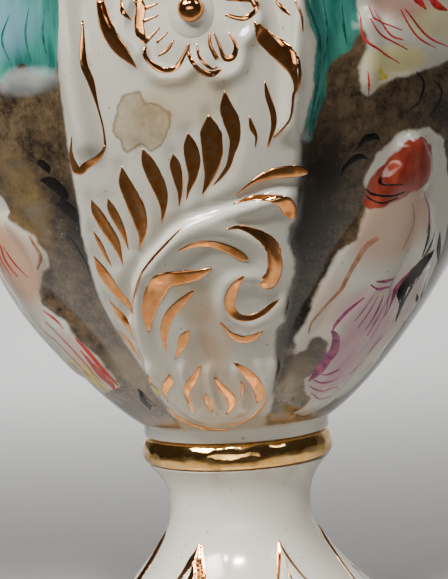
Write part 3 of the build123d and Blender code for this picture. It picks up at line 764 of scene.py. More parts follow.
VOLUTE = (
    ((5.6, 147.6, .2), (8.6, 150.7, 1), (11.4, 152.3, 2.4), (14.2, 152.9, 3.1), (16.8, 152.9, 2.9),
     (18.6, 152.7, 1.2)),
    ((5, 145.2, .3), (8.6, 146.6, 1.5), (12.2, 146, 2.4), (14.7, 144.3, 4), (15.8, 141.8, 3.4),
     (15.9, 140.2, .8)),
    ((3.4, 138.7, .3), (6.3, 138.9, 1.4), (9.6, 136.7, 2.8), (12, 133.7, 4), (12.9, 130.1, 4),
     (13, 126.2, 4.2), (11.8, 123.2, 4.4), (10.1, 122.8, 1)),
    ((-5.9, 133.5, .2), (-2.8, 134.9, 1.2), (.5, 134.8, 1.8), (3.7, 133.2, 2.2), (6.1, 131.1, 2.3),
     (7.6, 129.9, .6)),
    ((-4.7, 139.6, .3), (-7.7, 136, .8), (-11.2, 131.9, .9), (-14.4, 127.7, .7), (-16.1, 124.5, .7),
     (-19.3, 118.3, .5), (-21, 114.8, .2)),
    ((0, 128.2, .4), (-3.1, 126.7, 2.8), (-7.3, 125.9, 4), (-10.5, 125.2, 4.6), (-12.9, 122.3, 4.8),
     (-14.9, 118.7, 3.6), (-16.5, 114.8, 2.2), (-17.6, 110.8, .3)),
    ((-4.6, 122, .8), (-8, 118.7, 2.4), (-11, 115.6, 2.7), (-13.2, 111.9, 2.5), (-14.5, 108.4, 1.5),
     (-15, 104.6, .3)),
    ((-7.4, 110.7, .6), (-9, 108.5, 2.7), (-10.7, 105.4, 1.8), (-13.5, 101.9, .3)),
    ((6.5, 125.6, .8), (4.8, 122.9, 2.2), (3.5, 119.4, 2.8), (3.5, 116.4, 2.6), (5.3, 113.9, 2.2),
     (8.1, 113.4, 2), (11.1, 114.7, 1.6), (13.2, 116.8, 1.2), (14.8, 118.4, .3)),
    ((.9, 112.5, .4), (2.8, 109.5, .8), (4.1, 108.2, 1.8), (6.2, 107.1, 2.3), (8.9, 107.4, 1.8),
     (11.4, 109.1, .3)),
)
SHELL = (
    ((-6.3, 99.7, .5), (-10, 95, 2.2), (-13, 91.6, 2), (-13.7, 88.3, 1.4), (-13.7, 84, .3)),
    ((-6.9, 90.5, .4), (-6.4, 87.6, 2.3), (-6, 84.5, .5)),
    ((-2.5, 95.8, .4), (-.6, 92.1, 2), (1.5, 89.4, 2.4), (2.1, 86.6, 2), (-.4, 83.4, .4)),
    ((3.6, 100.3, .5), (7, 97.2, 2.4), (10.1, 93.7, 3), (11.8, 90.6, 2.6), (11.4, 87, .5)),
    ((5.6, 94.2, .3), (6.3, 91, .6), (5.7, 89.8, .3)),
    ((-16.7, 97.2, .4), (-18.1, 94.4, 2.1), (-21, 91.3, 1.8), (-22.5, 88, .3)),
    ((-22, 97.5, .4), (-23, 94.5, .9)),
    ((-24.4, 86, .4), (-23, 82.6, .8), (-19.3, 79.7, .9), (-11.3, 77.8, 1.2), (-1, 77.2, .9)),
    ((14.6, 89.4, .4), (13.4, 85.3, .8), (9.8, 81.6, .8), (5.1, 79.8, .7), (.1, 79, .3)),
)
CROWN = (
    ((-19.5, 232, .4), (-17.5, 240, 2.4), (-13, 248, 3.2), (-7, 253, 2.4), (-2, 255, .4)),
    ((19.5, 232, .4), (17.5, 240, 2.4), (13, 248, 3.2), (7, 253, 2.4), (2, 255, .4)),
    ((-9, 226, .3), (-7, 233, 1.8), (-3.5, 240, 2.2), (0, 243, .5)),
    ((9, 226, .3), (7, 233, 1.8), (3.5, 240, 2.2), (0, 243, .5)),
    ((0, 228, .3), (0, 222, 2.6), (0, 215, 2.2), (0, 208, .3)),
    ((-8.5, 222, .3), (-6, 216, 2), (-4, 210, 1.4), (-2.5, 206, .3)),
    ((8.5, 222, .3), (6, 216, 2), (4, 210, 1.4), (2.5, 206, .3)),
    ((-15.5, 226, .3), (-14, 219, 2), (-13, 211, 1.6), (-13.5, 205, .3)),
    ((15.5, 226, .3), (14, 219, 2), (13, 211, 1.6), (13.5, 205, .3)),
)
LINES = {
    "black": (
        ((-31.2, 158.8, .4), (-30.2, 159.3, 2.4), (-29.1, 157.6, 2.2), (-29.2, 156.2, .3)),
        ((-31.7, 154.8, .4), (-29.5, 154, 3.4), (-27.9, 151.8, 3.7), (-27.6, 149.5, 3), (-29, 147.8, .4)),
        ((-29.6, 147.9, .6), (-28, 147, 3.7), (-26.9, 145, 3.9), (-26.8, 142.3, .4)),
        ((-31.8, 139.9, .2), (-29.6, 138.6, .4), (-28.6, 134.7, .5), (-28.1, 130.6, .4), (-28.8, 126, .2)),
        ((27.2, 157.3, .3), (29, 160.6, 2), (31, 161, 2), (32, 160.1, .4)),
        ((25, 150.6, .3), (26, 154, 1.5), (28.2, 156, 2), (30.2, 155.4, .4)),
        ((33.5, 152, .3), (33.5, 148.5, .7), (37, 148, .3)),
        ((30.8, 147.5, .3), (32.3, 146, .7), (35.5, 145, .7), (38, 146, .3)),
        ((31.2, 145.6, .3), (34, 143.3, .6), (37, 144.5, .3)),
        ((48, 139, .3), (50, 133, 1.1), (51, 127, .3)),
        ((53, 137, .3), (52.5, 131, 1.2), (51.5, 127, .3)),
        ((55, 129, .4), (52, 125, 3), (50.8, 117, 3.6), (53.5, 108, .4)),
        ((57, 116, .4), (59.5, 113, 2), (68, 105, .4)),
        ((59.5, 123, .4), (62.5, 119, 2.4), (67.5, 114, .4)),
        ((57.5, 134, .4), (61, 129, 2.8), (66, 124, .4)),
        ((-34, 92, .3), (-34.6, 88.5, 1.1), (-36, 85, .3)),
        ((-33, 91.5, .3), (-33.2, 89, 1), (-33.5, 86, .3)),
        ((-31.8, 91, .3), (-31.2, 88.5, .8), (-31, 86, .3)),
        ((38, 178, .3), (40, 175, .8), (39.4, 171, .9), (37.4, 168, .3)),
        ((42, 176, .3), (44.5, 173, .9), (44, 169, .8), (42, 166, .3)),
    ),
    "brown": (
        ((34.8, 133.8, 1.4), (32.7, 131.6, 1.6), (31.3, 127.4, 1.4), (30, 122.5, 1.1), (29.3, 119.7, 1),
         (26.5, 115.3, .8), (24, 110.8, .7), (23.8, 107.6, .4)),
        ((41, 143, .3), (43.5, 137, .8), (43, 130, .3)),
        ((-39.5, 140, .3), (-39, 134, .7), (-41.5, 130, .3)),
    ),
    "purple": (
        ((37.8, 121.3, .4), (41.5, 121, 1.2), (46, 121.8, .3)),
        ((36.3, 120.6, .4), (38.7, 119, 1), (42, 119.2, .9), (44.5, 119.3, .3)),
        ((38, 117.5, .2), (37, 113.5, .6), (35.5, 110, .2)),
        ((40, 117, .2), (39.2, 112.5, .6), (37.6, 108, .2)),
        ((42, 117, .2), (41.4, 112, .6), (40, 107, .2)),
        ((44, 117, .2), (43.6, 111, .6), (42.4, 105, .2)),
        ((46, 116.5, .2), (45.8, 110, .6), (44.8, 104, .2)),
        ((35.5, 117, .4), (32.5, 113.5, .9), (30.5, 110, .9), (30, 108, .4)),
        ((29.8, 108, .8), (31.8, 105.4, 2.2), (32.6, 102, 2.4), (31.4, 98.7, 2.4), (29.9, 95, 2),
         (28.2, 92.5, .5)),
        ((30, 95, .3), (34, 94, .8), (38, 95.5, .3)),
        ((29.5, 93, .3), (34, 91.5, .8), (40, 92.5, .3)),
        ((29, 91, .3), (35, 88.8, .7), (42, 89.5, .3)),
        ((31, 88.6, .3), (37, 86, .6), (43, 86.5, .2)),
        ((50, 124, .3), (48.5, 117, 1), (47.5, 110, .3)),
        ((52, 104, .3), (49, 98, .9), (44, 93, .3)),
        ((44, 146, .3), (47.5, 140, .9), (49, 134, .3)),
    ),
    "red": (
        ((-49.5, 139, .3), (-52.5, 134, .7), (-54, 129, .2)),
        ((-49.3, 138, .3), (-51.6, 133, .7), (-51.5, 128, .2)),
        ((-48.8, 137.5, .3), (-50, 132.5, .7), (-49, 128, .2)),
        ((-48.3, 137, .3), (-47.6, 132, .7), (-46, 127.5, .2)),
        ((-42.7, 105, .5), (-42, 99.3, 2), (-42, 94.6, 1.8), (-43.5, 91.4, .4)),
        ((-42, 109, .3), (-40.5, 103.8, 1), (-39.8, 96.6, 1), (-41, 93, .3)),
        ((-47.7, 117.5, .3), (-45.5, 115, .9), (-43.8, 111.8, .3)),
        ((-50, 114, .3), (-47, 108, .9), (-45, 101, .8), (-45, 94, .2)),
        ((-54, 112, .2), (-50.5, 104, .8), (-48, 96, .2)),
        ((28.3, 195.5, .3), (28.4, 192, .6), (29.5, 191, .6), (33.8, 188.5, .3)),
        ((29, 194, .3), (31.5, 187.5, .6), (34, 186, .3)),
        ((27.8, 191.5, .3), (29.7, 187.5, .6), (35, 183.5, .3)),
        ((26.4, 193.5, .2), (26.8, 186.5, .6), (30, 183, .6), (34, 180, .2)),
        ((33.3, 194, .3), (36.8, 187, .6), (41, 184, .2)),
        ((34, 194, .3), (39, 187, .6), (44, 184.5, .2)),
        ((27.6, 178, .2), (28, 174.5, .6), (28.6, 172, .2)),
        ((38, 199, .4), (40, 195.5, 2.2), (42.5, 194, .5)),
        ((33, 201, .4), (36, 197, 2.6), (38, 194, .5)),
        ((42, 203, .3), (46, 198, .8), (50, 196, .3)),
        ((31, 207, .3), (35, 202, .8), (40, 201, .3)),
    ),
    "teal": (
        ((-24, 199, .2), (-24.6, 192, .8), (-24, 184, .2)),
        ((-27, 200, .2), (-28, 193, .7), (-27.5, 186, .2)),
        ((-31, 199, .2), (-33, 193, .8), (-32, 187, .2)),
        ((-36, 199, .2), (-38, 192, .8), (-37, 185, .2)),
        ((-41, 198, .2), (-44, 192, .9), (-43, 186, .2)),
        ((-47, 199, .2), (-50, 193, .9), (-49, 187, .2)),
        ((17.4, 196, .5), (19.4, 187, 1.1), (19.2, 176, 1.2), (18, 164, .4)),
        ((20.4, 197, .4), (21, 188, .9), (20.2, 179, .3)),
        ((23.5, 196, .4), (23.8, 190, .8), (24.4, 185, .2)),
        ((19.8, 172, .3), (19, 167, .8), (18.4, 162, .2)),
    ),
    "yellow": (
        ((-23.5, 94, .6), (-24.2, 92, 1.3), (-24.5, 90, .4)),
        ((-46, 100, .3), (-47.5, 95, .8), (-47, 91.5, .2)),
        ((-50, 100, .3), (-51.5, 96, .8), (-51, 92.5, .2)),
        ((-55, 101, .3), (-56, 97, .8), (-55, 94, .2)),
        ((29.4, 179, .6), (30.8, 177, 2.2), (32, 176.5, .6)),
    ),
}
# Soft washes laid with a wide wet brush, and one wash of painted shade: colour, cover, angle, height and the
# two half sizes. Those on the figures and the cloth stop at their outlines.
FIGURE_WASHES = (
    ("#BC9278", .7, 38, 138, 12, 13), ("#B47C90", .55, 38, 113, 9, 8), ("#AC6E8C", .5, 34, 96, 9, 11),
    ("#B0748E", .55, 42, 101, 10, 14), ("#C49A90", .4, 27, 116, 4, 8), ("#B98A9C", .4, 50, 112, 8, 14),
    ("#E0D684", .65, 33, 181, 7, 4), ("#E2DA9A", .55, 41, 191, 7, 5), ("#D8C890", .5, 30, 176, 4, 4),
    ("#D08070", .5, 34, 196, 6, 5), ("#B8B0A8", .3, 44, 204, 8, 6),
    ("#C4885E", .7, -50, 132, 11, 14), ("#C8C078", .6, -50, 97, 10, 7), ("#D09084", .4, -45, 103, 5, 9),
)
WASHES = (
    ("#7CA4B8", .7, -46, 197, 22, 13), ("#A9B4B4", .5, -29, 181, 7, 4),
    ("#A99878", .55, -7.5, 168, 4.6, 7), ("#BCAA84", .5, -1, 173, 8, 8), ("#B08C5C", .5, -5, 119, 5, 8),
    ("#B4906A", .5, -1, 108, 5, 11), ("#A88860", .45, -5, 103, 6, 8),
    ("#B89468", .5, 0, 88, 14, 10), ("#A88A66", .45, 0, 79, 60, 4), ("#7A6A52", .5, 24, 96, 4, 6),
    # The last, near-black wash at 20.5 degrees is painted shade along the panel's raised right edge.
    ("#9A8A6A", .5, -32, 98, 6, 8), ("#8A7448", .35, -37, 150, 5, 14), ("#16120C", .6, 20.5, 150, 5, 20),
)
# Painted shade: spots where the sponged ground is darkened as if in shadow beside the panel's and the right
# figure's raised edges: angle, height and the two half sizes.
PAINTED_SHADE_SPOTS = ((19, 135, 9, 26), (22, 152, 7, 10), (21, 112, 7, 14), (-27, 140, 5, 20), (50, 168, 10, 6))
PANEL_RISE = 1.6
PANEL_EDGE = 1.6
PANEL_FADE = (76, 84)
RIDGE_GAIN = 1.45
FEATHER_GROOVE = (3.2, -0.7)
FOLD_RIDGE = (2.0, 0.9)
RELIEF_FADE_LOW = (75.5, 82)
RELIEF_FADE_HIGH = (258, 268)


def relief(angle, z):
    """How far the modelled decoration stands out from the turned wall at each angle and height."""
    places = BODY.flat(np.stack([angle, z], -1))
    panel = inside_distance(places, BODY.flat(PANEL))
    height = PANEL_RISE * smooth(-PANEL_EDGE, PANEL_EDGE, panel) * smooth(*PANEL_FADE, z)
    for half_width, rise, chain in RIDGES:
        height += ridge(BODY, places, chain, half_width, RIDGE_GAIN * rise)
    for chain in FEATHERS:
        height += ridge(BODY, places, [c[:2] for c in chain], *FEATHER_GROOVE)
    forms = np.zeros(len(angle))
    for rise, chain in LIMBS:
        forms = np.maximum(forms, limb(BODY, places, chain, rise))
    for chain in FOLDS:
        forms += ridge(BODY, places, chain, *FOLD_RIDGE)
    return (height + forms) * smooth(*RELIEF_FADE_LOW, z) * (1 - smooth(*RELIEF_FADE_HIGH, z))


SMOOTHED_BELOW_Z = 262


def build_body():
    """The body's turned wall with its relief pushed out of it, smoothed once and painted."""
    bm = turn(body_profile(), BODY_STEPS)
    angle, radius, z = polar(bm)
    angle = angle - math.degrees(FRONT_DENSITY) * np.sin(np.radians(2 * angle))
    outer = (radius > BODY.radius(z) - 1) & (z > BODY_Z + STUB_HEIGHT) & (z < RIM_Z)
    folded = (angle + 90) % 180 - 90
    rise = np.zeros(len(angle))
    rise[outer] = relief(folded[outer], z[outer])
    put_polar(bm, angle, radius + rise, z)
    marked = [v for v, on in zip(bm.verts, outer & (z < SMOOTHED_BELOW_Z)) if on]
    bmesh.ops.smooth_vert(bm, verts=marked, factor=0.5, use_axis_x=True, use_axis_y=True, use_axis_z=True)
    bm.normal_update()
    BODY.tree = BVHTree.FromBMesh(bm)
    made = piece("porcelain_body", bm, PAINTED,
                 stands_for=("vase_bowl", "vase_shoulder", "vase_neck"))
    paint(made, folded, z, outer)


FAR = 9.0  # past this distance from an outline, its mask is plain 0 or 1
GROUND_LOW_Z, GROUND_HIGH_Z = 77.5, 200.0
CLOUD_Z = 262.0  # where the green fades into a cloudy edge, and its two waves round the vase
CLOUD_WAVES = ((2.6, 9, 0), (1.6, 15, 40))


def inside_any(places, outlines):
    """Distance into the nearest of several closed outlines on the body, above 0 inside one."""
    return np.max([inside_distance(places, BODY.flat(outline)) for outline in outlines], axis=0)


def patch(angle, z, spot):
    """Squared distance from the middle of an oval patch, 1 at its edge."""
    at, height, half_angle, half_height = spot
    return ((angle - at) / half_angle) ** 2 + ((z - height) / half_height) ** 2


def paint(made, angle, z, outer):
    """Gives the body's mesh its painted outlines, as distances, the painted shade of its ground, as a number,
    and its washes, as colours.
    """
    places = BODY.flat(np.stack([angle, z], -1))
    panel = inside_distance(places, BODY.flat(PANEL))
    cloud = CLOUD_Z + sum(rise * np.sin(np.radians(n * angle + start)) for rise, n, start in CLOUD_WAVES)
    bare = inside_any(places, (CLOTH, RIGHT_FIGURE, LEFT_FIGURE))
    edges = {
        "ground_edge": np.minimum(np.minimum(-panel, GROUND_HIGH_Z - z), z - GROUND_LOW_Z),
        "green_edge": np.minimum(np.minimum(inside_any(places, (GREEN, TREE)), -panel), cloud - z),
        "bare_edge": bare,
        "stain_edge": inside_any(places, STAINS),
        "hair_edge": inside_any(places, HAIR),
    }
    for name, distance in edges.items():
        carry(made, name, np.where(outer, np.clip(distance, -FAR, FAR), -FAR))
    # Painted shade: how far the ground turns to its darker shaded colours, strongest in the listed spots.
    shade = np.zeros(len(z))
    for spot in PAINTED_SHADE_SPOTS:
        shade = np.maximum(shade, np.exp(-patch(angle, z, spot)))
    carry(made, "ground_painted_shade", shade)
    colours = np.zeros((len(z), 4))
    for washes, where in ((FIGURE_WASHES, smooth(-1, 1, bare)), (WASHES, np.ones(len(z)))):
        for code, cover, *spot in washes:
            over = (cover * (1 - smooth(0.35, 1.3, patch(angle, z, spot))) * outer * where)[:, None]
            before = colours[:, 3:]
            total = over + before * (1 - over)
            mixed = np.array(linear(code)[:3]) * over + colours[:, :3] * before * (1 - over)
            colours[:, :3] = np.where(total > 0, mixed / np.maximum(total, 1e-6), 0)
            colours[:, 3:] = total
    carry(made, "wash", colours)


# ---- Strokes of gold and enamel lying on the glaze ----
ACROSS = np.array([-1, -0.75, -0.4, 0, 0.4, 0.75, 1])
BRUSH_SPREAD = 1.14  # the rim of a stroke sinks in the glaze, so its film is laid wider than it shows
STROKE_STEP = 0.7
FINEST_STROKE = 0.15
FILM_SINK = 0.02
FILM_BACK = 0.12  # how deep the film's back lies in the glaze
GOLD_THICK = 0.17
THIN_THICK = 0.1


def stroke(bm, wall, chain, thick, turned=0.0):
    """Lays one brush stroke on a wall: lens-shaped across, following its chain of points."""
    chain = np.array(chain, float)
    flat = np.concatenate([wall.flat(chain[:, :2]), chain[:, 2:]], -1)
    length = np.linalg.norm(np.diff(flat[:, :2], axis=0), axis=1).sum()
    line = rounded(flat, max(6, int(length / STROKE_STEP)))
    along = np.gradient(line[:, :2], axis=0)
    along /= np.linalg.norm(along, axis=1)[:, None]
    side = np.stack([-along[:, 1], along[:, 0]], -1)
    half = np.clip(line[:, 2] * BRUSH_SPREAD, FINEST_STROKE, None)[:, None] / 2
    grid = bmesh.ops.create_grid(bm, x_segments=len(line) - 1, y_segments=len(ACROSS) - 1, size=0.5)
    for vert in grid["verts"]:
        i = round((vert.co.x + 0.5) * (len(line) - 1))
        k = round((vert.co.y + 0.5) * (len(ACROSS) - 1))
        place = line[i, :2] + side[i] * half[i] * ACROSS[k]
        angle, z = wall.unflat(place)
        spot, normal = wall.hit(angle + turned, z)
        lift = thick * (1 - ACROSS[k] ** 4) - FILM_SINK
        vert.co = spot + normal * (lift * MM)


def back_film(made):
    """Gives a film of paint its thickness, into the glaze below it."""
    film = made.modifiers.new("film", "SOLIDIFY")
    film.thickness = FILM_BACK * MM
    film.offset = -1


def strokes(name, wall, chains, material, thick, turned=0.0, body="vase"):
    """One piece of many strokes of the same paint."""
    bm = bmesh.new()
    for chain in chains:
        stroke(bm, wall, chain, thick, turned)
    bmesh.ops.recalc_face_normals(bm, faces=bm.faces)
    back_film(piece(name, bm, material, body))


# ---- Foot, collar, handles and rosettes ----
FOOT_RISE = FOOT_WAIST_Z - FOOT_PLINTH_HEIGHT
FOOT_IN = FOOT_BASE_RADIUS - FOOT_WAIST_RADIUS
foot_sweep = bezier(
    (FOOT_BASE_RADIUS, FOOT_PLINTH_HEIGHT),
    (FOOT_BASE_RADIUS - 0.47 * FOOT_IN, FOOT_PLINTH_HEIGHT + 0.32 * FOOT_RISE),
    (FOOT_WAIST_RADIUS, FOOT_WAIST_Z - 0.37 * FOOT_RISE),
    (FOOT_WAIST_RADIUS, FOOT_WAIST_Z),
)
foot_flare = bezier(
    (FOOT_WAIST_RADIUS, FOOT_WAIST_Z),
    (FOOT_WAIST_RADIUS, FOOT_WAIST_Z + 0.55 * (FOOT_TOP - FOOT_WAIST_Z)),
    (FOOT_FLANGE_RADIUS - 0.45 * (FOOT_FLANGE_RADIUS - FOOT_WAIST_RADIUS),
     FOOT_TOP - 0.22 * (FOOT_TOP - FOOT_WAIST_Z)),
    (FOOT_FLANGE_RADIUS, FOOT_TOP),
)
plinth_face = np.array([(FOOT_BASE_RADIUS, 0.0), (FOOT_BASE_RADIUS, FOOT_PLINTH_HEIGHT - 0.01)])
FOOT = Wall(np.concatenate([plinth_face, foot_sweep, foot_flare[1:]]))
FOOT_STEPS = 288
PLINTH_EASE = 0.5
# Half of one raised leaf of the foot, from its tip down, as angle from its middle and height.
LEAF_HALF = ((0, 40.5), (3, 36), (8, 30), (13, 25), (17, 19), (18, 13), (14, 8.5), (6, 7.2), (0, 7))
LEAF_VEIN = ((0, 35, .3), (0, 28, .8), (0, 20, .9), (0, 12, .3))
LEAF_SIDE_VEIN = ((0.6, 27, .2), (4, 23, .6), (8, 17, .6), (10, 12, .2))
LEAF_RISE = 1.3
LEAF_EDGE = (-0.8, 1.6)
LEAF_FADE = (7, 10)
VEIN_DEPTH = 0.7
VEIN_HALF_WIDTH = 2.0
VEIN_FADE_LOW = (10, 14)
VEIN_FADE_HIGH = (30, 35)
RIM_MARGIN = 1.5  # the leaves leave this much of the base's edge plain


def from_lobe_middle(angle):
    """Angle from the middle of the nearest lobe of the foot."""
    step = 360 / LOBE_COUNT
    return (angle - LOBE_TURN + step / 2) % step - step / 2


def lobe_limit(angle):
    """Radius of the six-lobed outline at each angle."""
    away = np.radians(from_lobe_middle(angle))
    reach = FOOT_BASE_RADIUS - LOBE_RADIUS
    return reach * np.cos(away) + np.sqrt(LOBE_RADIUS**2 - (reach * np.sin(away)) ** 2)


def foot_profile():
    """The foot's closed half section: outside, spigot, bolt hole and cavity."""
    outer = np.concatenate([foot_sweep[::5], foot_flare[5::8]])
    if outer[-1][1] < FOOT_TOP:
        outer = np.concatenate([outer, foot_flare[-1:]])
    cavity_radius = FOOT_WAIST_RADIUS - FOOT_WALL
    mouth = lobe_limit(np.array(0.0)) - FOOT_WALL
    inner = inward(foot_sweep, FOOT_WALL)[64::6]
    inner = inner[inner[:, 0] > cavity_radius + 0.3]
    top = FOOT_TOP + SPIGOT_HEIGHT
    plinth = [(FOOT_BASE_RADIUS - PLINTH_EASE, 0)]
    plinth += [(FOOT_BASE_RADIUS, height) for height in (PLINTH_EASE, 2.5, 4.5)]
    above = [(SPIGOT_RADIUS, FOOT_TOP), (SPIGOT_RADIUS, top), (BOLT_HOLE_RADIUS, top),
             (BOLT_HOLE_RADIUS, WEB_Z), (cavity_radius, WEB_Z), (cavity_radius, FOOT_WAIST_Z)]
    below = [(float(mouth) + 0.3, 3), (float(mouth), 0)]
    return np.concatenate([plinth, outer, above, inner[::-1], below])


def build_foot():
    """The foot, turned, trimmed to its six lobes, with a raised leaf on each."""
    bm = turn(foot_profile(), FOOT_STEPS)
    angle, radius, z = polar(bm)
    limit = lobe_limit(angle)
    outside = (radius > FOOT.radius(z) - 1) & (z < FOOT_TOP)
    places = FOOT.flat(np.stack([np.abs(from_lobe_middle(angle)), z], -1))
    mirrored = [(-a, h) for a, h in LEAF_HALF[::-1]]
    leaf = inside_distance(places, FOOT.flat(LEAF_HALF + tuple(mirrored)))
    rise = LEAF_RISE * smooth(*LEAF_EDGE, leaf) * smooth(*LEAF_FADE, z)
    vein = VEIN_DEPTH * (1 - smooth(0, VEIN_HALF_WIDTH, np.abs(places[:, 0])))
    rise -= vein * smooth(*VEIN_FADE_LOW, z) * (1 - smooth(*VEIN_FADE_HIGH, z))
    trimmed = np.minimum(radius, limit) + rise * (radius < limit - RIM_MARGIN)
    rounded_edge = np.where(outside, trimmed, radius)
    radius = np.where(outside, rounded_edge, np.minimum(radius, np.maximum(limit - FOOT_WALL, 0.0)))
    put_polar(bm, angle, radius, z)
    bmesh.ops.dissolve_degenerate(bm, dist=0.01 * MM, edges=bm.edges)
    bm.normal_update()
    FOOT.tree = BVHTree.FromBMesh(bm)
    piece("porcelain_foot", bm, PORCELAIN, stands_for=("pedestal_foot",))


COLLAR_STEPS = 240
COLLAR_UNEVENNESS = 0.05


def build_collar():
    """The gilded ring: a soft roll with hand-finished unevenness."""
    top, low = collar_high[2], collar_low[2]
    edge, bulge = COLLAR_EDGE_RADIUS, collar_high[0] - 0.15
    roll = bezier((edge, low), (bulge + 0.5, low + 0.15 * (top - low)),
                  (bulge + 0.5, top - 0.3 * (top - low)), (edge, top), 15)
    bore = np.array([(COLLAR_BORE_RADIUS, top), (COLLAR_BORE_RADIUS, low)])
    bm = turn(np.concatenate([roll, bore]), COLLAR_STEPS)
    angle, radius, z = polar(bm)
    turned = np.radians(angle)
    uneven = np.sin(5 * turned + 1) + np.sin(9 * turned + z * 0.7) + 0.6 * np.sin(17 * turned - z)
    radius = np.where(radius > COLLAR_BORE_RADIUS + 1, radius + COLLAR_UNEVENNESS * uneven, radius)
    put_polar(bm, angle, radius, z)
    piece("gilded_collar", bm, COLLAR_GOLD, stands_for=("collar_ring",))


HANDLE_WIDTH = 11.0
HANDLE_DEPTH = 8.0
HANDLE_REACH = 11.0
HANDLE_FOOT_Z = BODY_Z + 155.0
HANDLE_TOP_Z = RIM_Z + BODY_WALL / 2 - 27
HANDLE_STEPS = 200
TUBE_STATIONS, TUBE_SIDES = 150, 28
SWELL = 0.1  # the handle's thickness swells and shrinks by this share
MIDRIB_RISE, MIDRIB_HALF_ANGLE = 0.8, 0.28
FLUTE_RISE, FLUTES = 0.35, 7
SCALE_RISE, SCALES = 0.5, 15
GILT_SCALES = 14
GILT_FIRST, GILT_PITCH, GILT_LENGTH = 0.06, 0.063, 0.045


def handle_path():
    """The handle's centre line in the YZ plane, from its root on the shoulder to the neck."""
    rise = HANDLE_TOP_Z - HANDLE_FOOT_Z
    shoulder_radius, neck_radius = BODY.radius(HANDLE_FOOT_Z), BODY.radius(HANDLE_TOP_Z)
    out = -(shoulder_radius + HANDLE_REACH)
    rooted = -(shoulder_radius - HANDLE_DEPTH / 2)
    ending = -(neck_radius - BODY_WALL / 2)
    bend = np.array((out, HANDLE_FOOT_Z + 0.3 * rise))
    crown = np.array(((ending + out) / 2, HANDLE_TOP_Z + 0.1 * rise))
    low, high = np.array((-HANDLE_REACH, 0.15 * rise)), np.array((0, 0.3 * rise))
    pull = np.array((0.6 * ending, 0))
    start = np.array((rooted, HANDLE_FOOT_Z))
    parts = [
        bezier(start, start + low, bend - high / 2, bend),
        bezier(bend, bend + high * 1.5, crown + pull, crown)[1:],
        bezier(crown, crown - pull, (ending, HANDLE_TOP_Z), (ending, HANDLE_TOP_Z))[1:-1],
    ]
    return np.concatenate(parts)


def handle_point(line, along, share, turned, lift=0.0):
    """A place on the handle's skin: share along it and angle round it, 0 on its outer face."""
    at = share * (len(line) - 1)
    i = min(int(at), len(line) - 2)
    centre = line[i] + (line[i + 1] - line[i]) * (at - i)
    out = np.array([-along[i, 1], along[i, 0]])
    swell = 1 + SWELL * math.sin(share * math.pi * 6) ** 2 - SWELL * smooth(0.9, 1.0, share)
    midrib = MIDRIB_RISE * math.exp(-((turned / MIDRIB_HALF_ANGLE) ** 2))
    vein = midrib + FLUTE_RISE * math.cos(FLUTES * turned)
    leaf = SCALE_RISE * abs(math.sin(share * math.pi * SCALES + abs(turned) * 1.6))
    across = (HANDLE_WIDTH / 2 - 0.5) * swell * math.sin(turned)
    deep = ((HANDLE_DEPTH / 2 - 0.4) * swell + vein * 0.5 + leaf * 0.8 + lift) * math.cos(turned)
    y, z = centre + out * deep
    return Vector((across + lift * math.sin(turned), y, z)) * MM


def handle_frame():
    """The handle's centre line in even steps, and its direction at each."""
    line = handle_path()
    steps = np.concatenate([[0], np.cumsum(np.linalg.norm(np.diff(line, axis=0), axis=1))])
    even = np.linspace(0, steps[-1], HANDLE_STEPS)
    line = np.stack([np.interp(even, steps, line[:, 0]), np.interp(even, steps, line[:, 1])], -1)
    along = np.gradient(line, axis=0)
    return line, along / np.linalg.norm(along, axis=1)[:, None]


def build_handle(name, node, turned):
    """A scrolled handle with a beaded midrib and overlapping leaf scales."""
    line, along = handle_frame()
    bm = bmesh.new()
    bmesh.ops.create_grid(bm, x_segments=TUBE_STATIONS, y_segments=TUBE_SIDES, size=0.5)
    for vert in bm.verts:
        share, round_way = vert.co.x + 0.5, (vert.co.y + 0.5) * math.tau - math.pi
        vert.co = handle_point(line, along, share, round_way)
    close_tube(bm)
    turn_round(bm, turned)
    piece(name, bm, PORCELAIN, stands_for=(node,))


def close_tube(bm):
    """Joins a wrapped grid along its seam, closes its ends and turns its faces outwards."""
    bmesh.ops.remove_doubles(bm, verts=bm.verts, dist=0.001 * MM)
    bmesh.ops.holes_fill(bm, edges=[e for e in bm.edges if e.is_boundary], sides=0)
    bmesh.ops.recalc_face_normals(bm, faces=bm.faces)


def gild_handle(name, turned):
    """Gold along the handle's midrib and on the tips of its leaf scales."""
    line, along = handle_frame()
    bm = bmesh.new()
    # A run's first and last share along the handle, then its first angle, half width and drift round it.
    runs = [(0.05, 0.95, 0.0, 0.16, 0.0)]
    for i in range(GILT_SCALES):
        start = GILT_FIRST + i * GILT_PITCH
        for way in (1, -1):
            runs.append((start, start + GILT_LENGTH, way * 0.45, 0.12, way * 0.75))
    for first, last, from_angle, half, drift in runs:
        count = max(8, int((last - first) * 140))
        grid = bmesh.ops.create_grid(bm, x_segments=count, y_segments=4, size=0.5)
        for vert in grid["verts"]:
            t, side = vert.co.x + 0.5, vert.co.y * 2
            taper = math.sin(math.pi * min(max(t, 0.02), 0.98)) ** 0.5
            round_way = from_angle + drift * t + half * side * taper
            share = first + (last - first) * t
            vert.co = handle_point(line, along, share, round_way, 0.12 * (1 - side * side) - FILM_SINK)
    turn_round(bm, turned)
    bmesh.ops.recalc_face_normals(bm, faces=bm.faces)
    back_film(piece(name, bm, GOLD))


BEAD_FLATNESS = 0.85


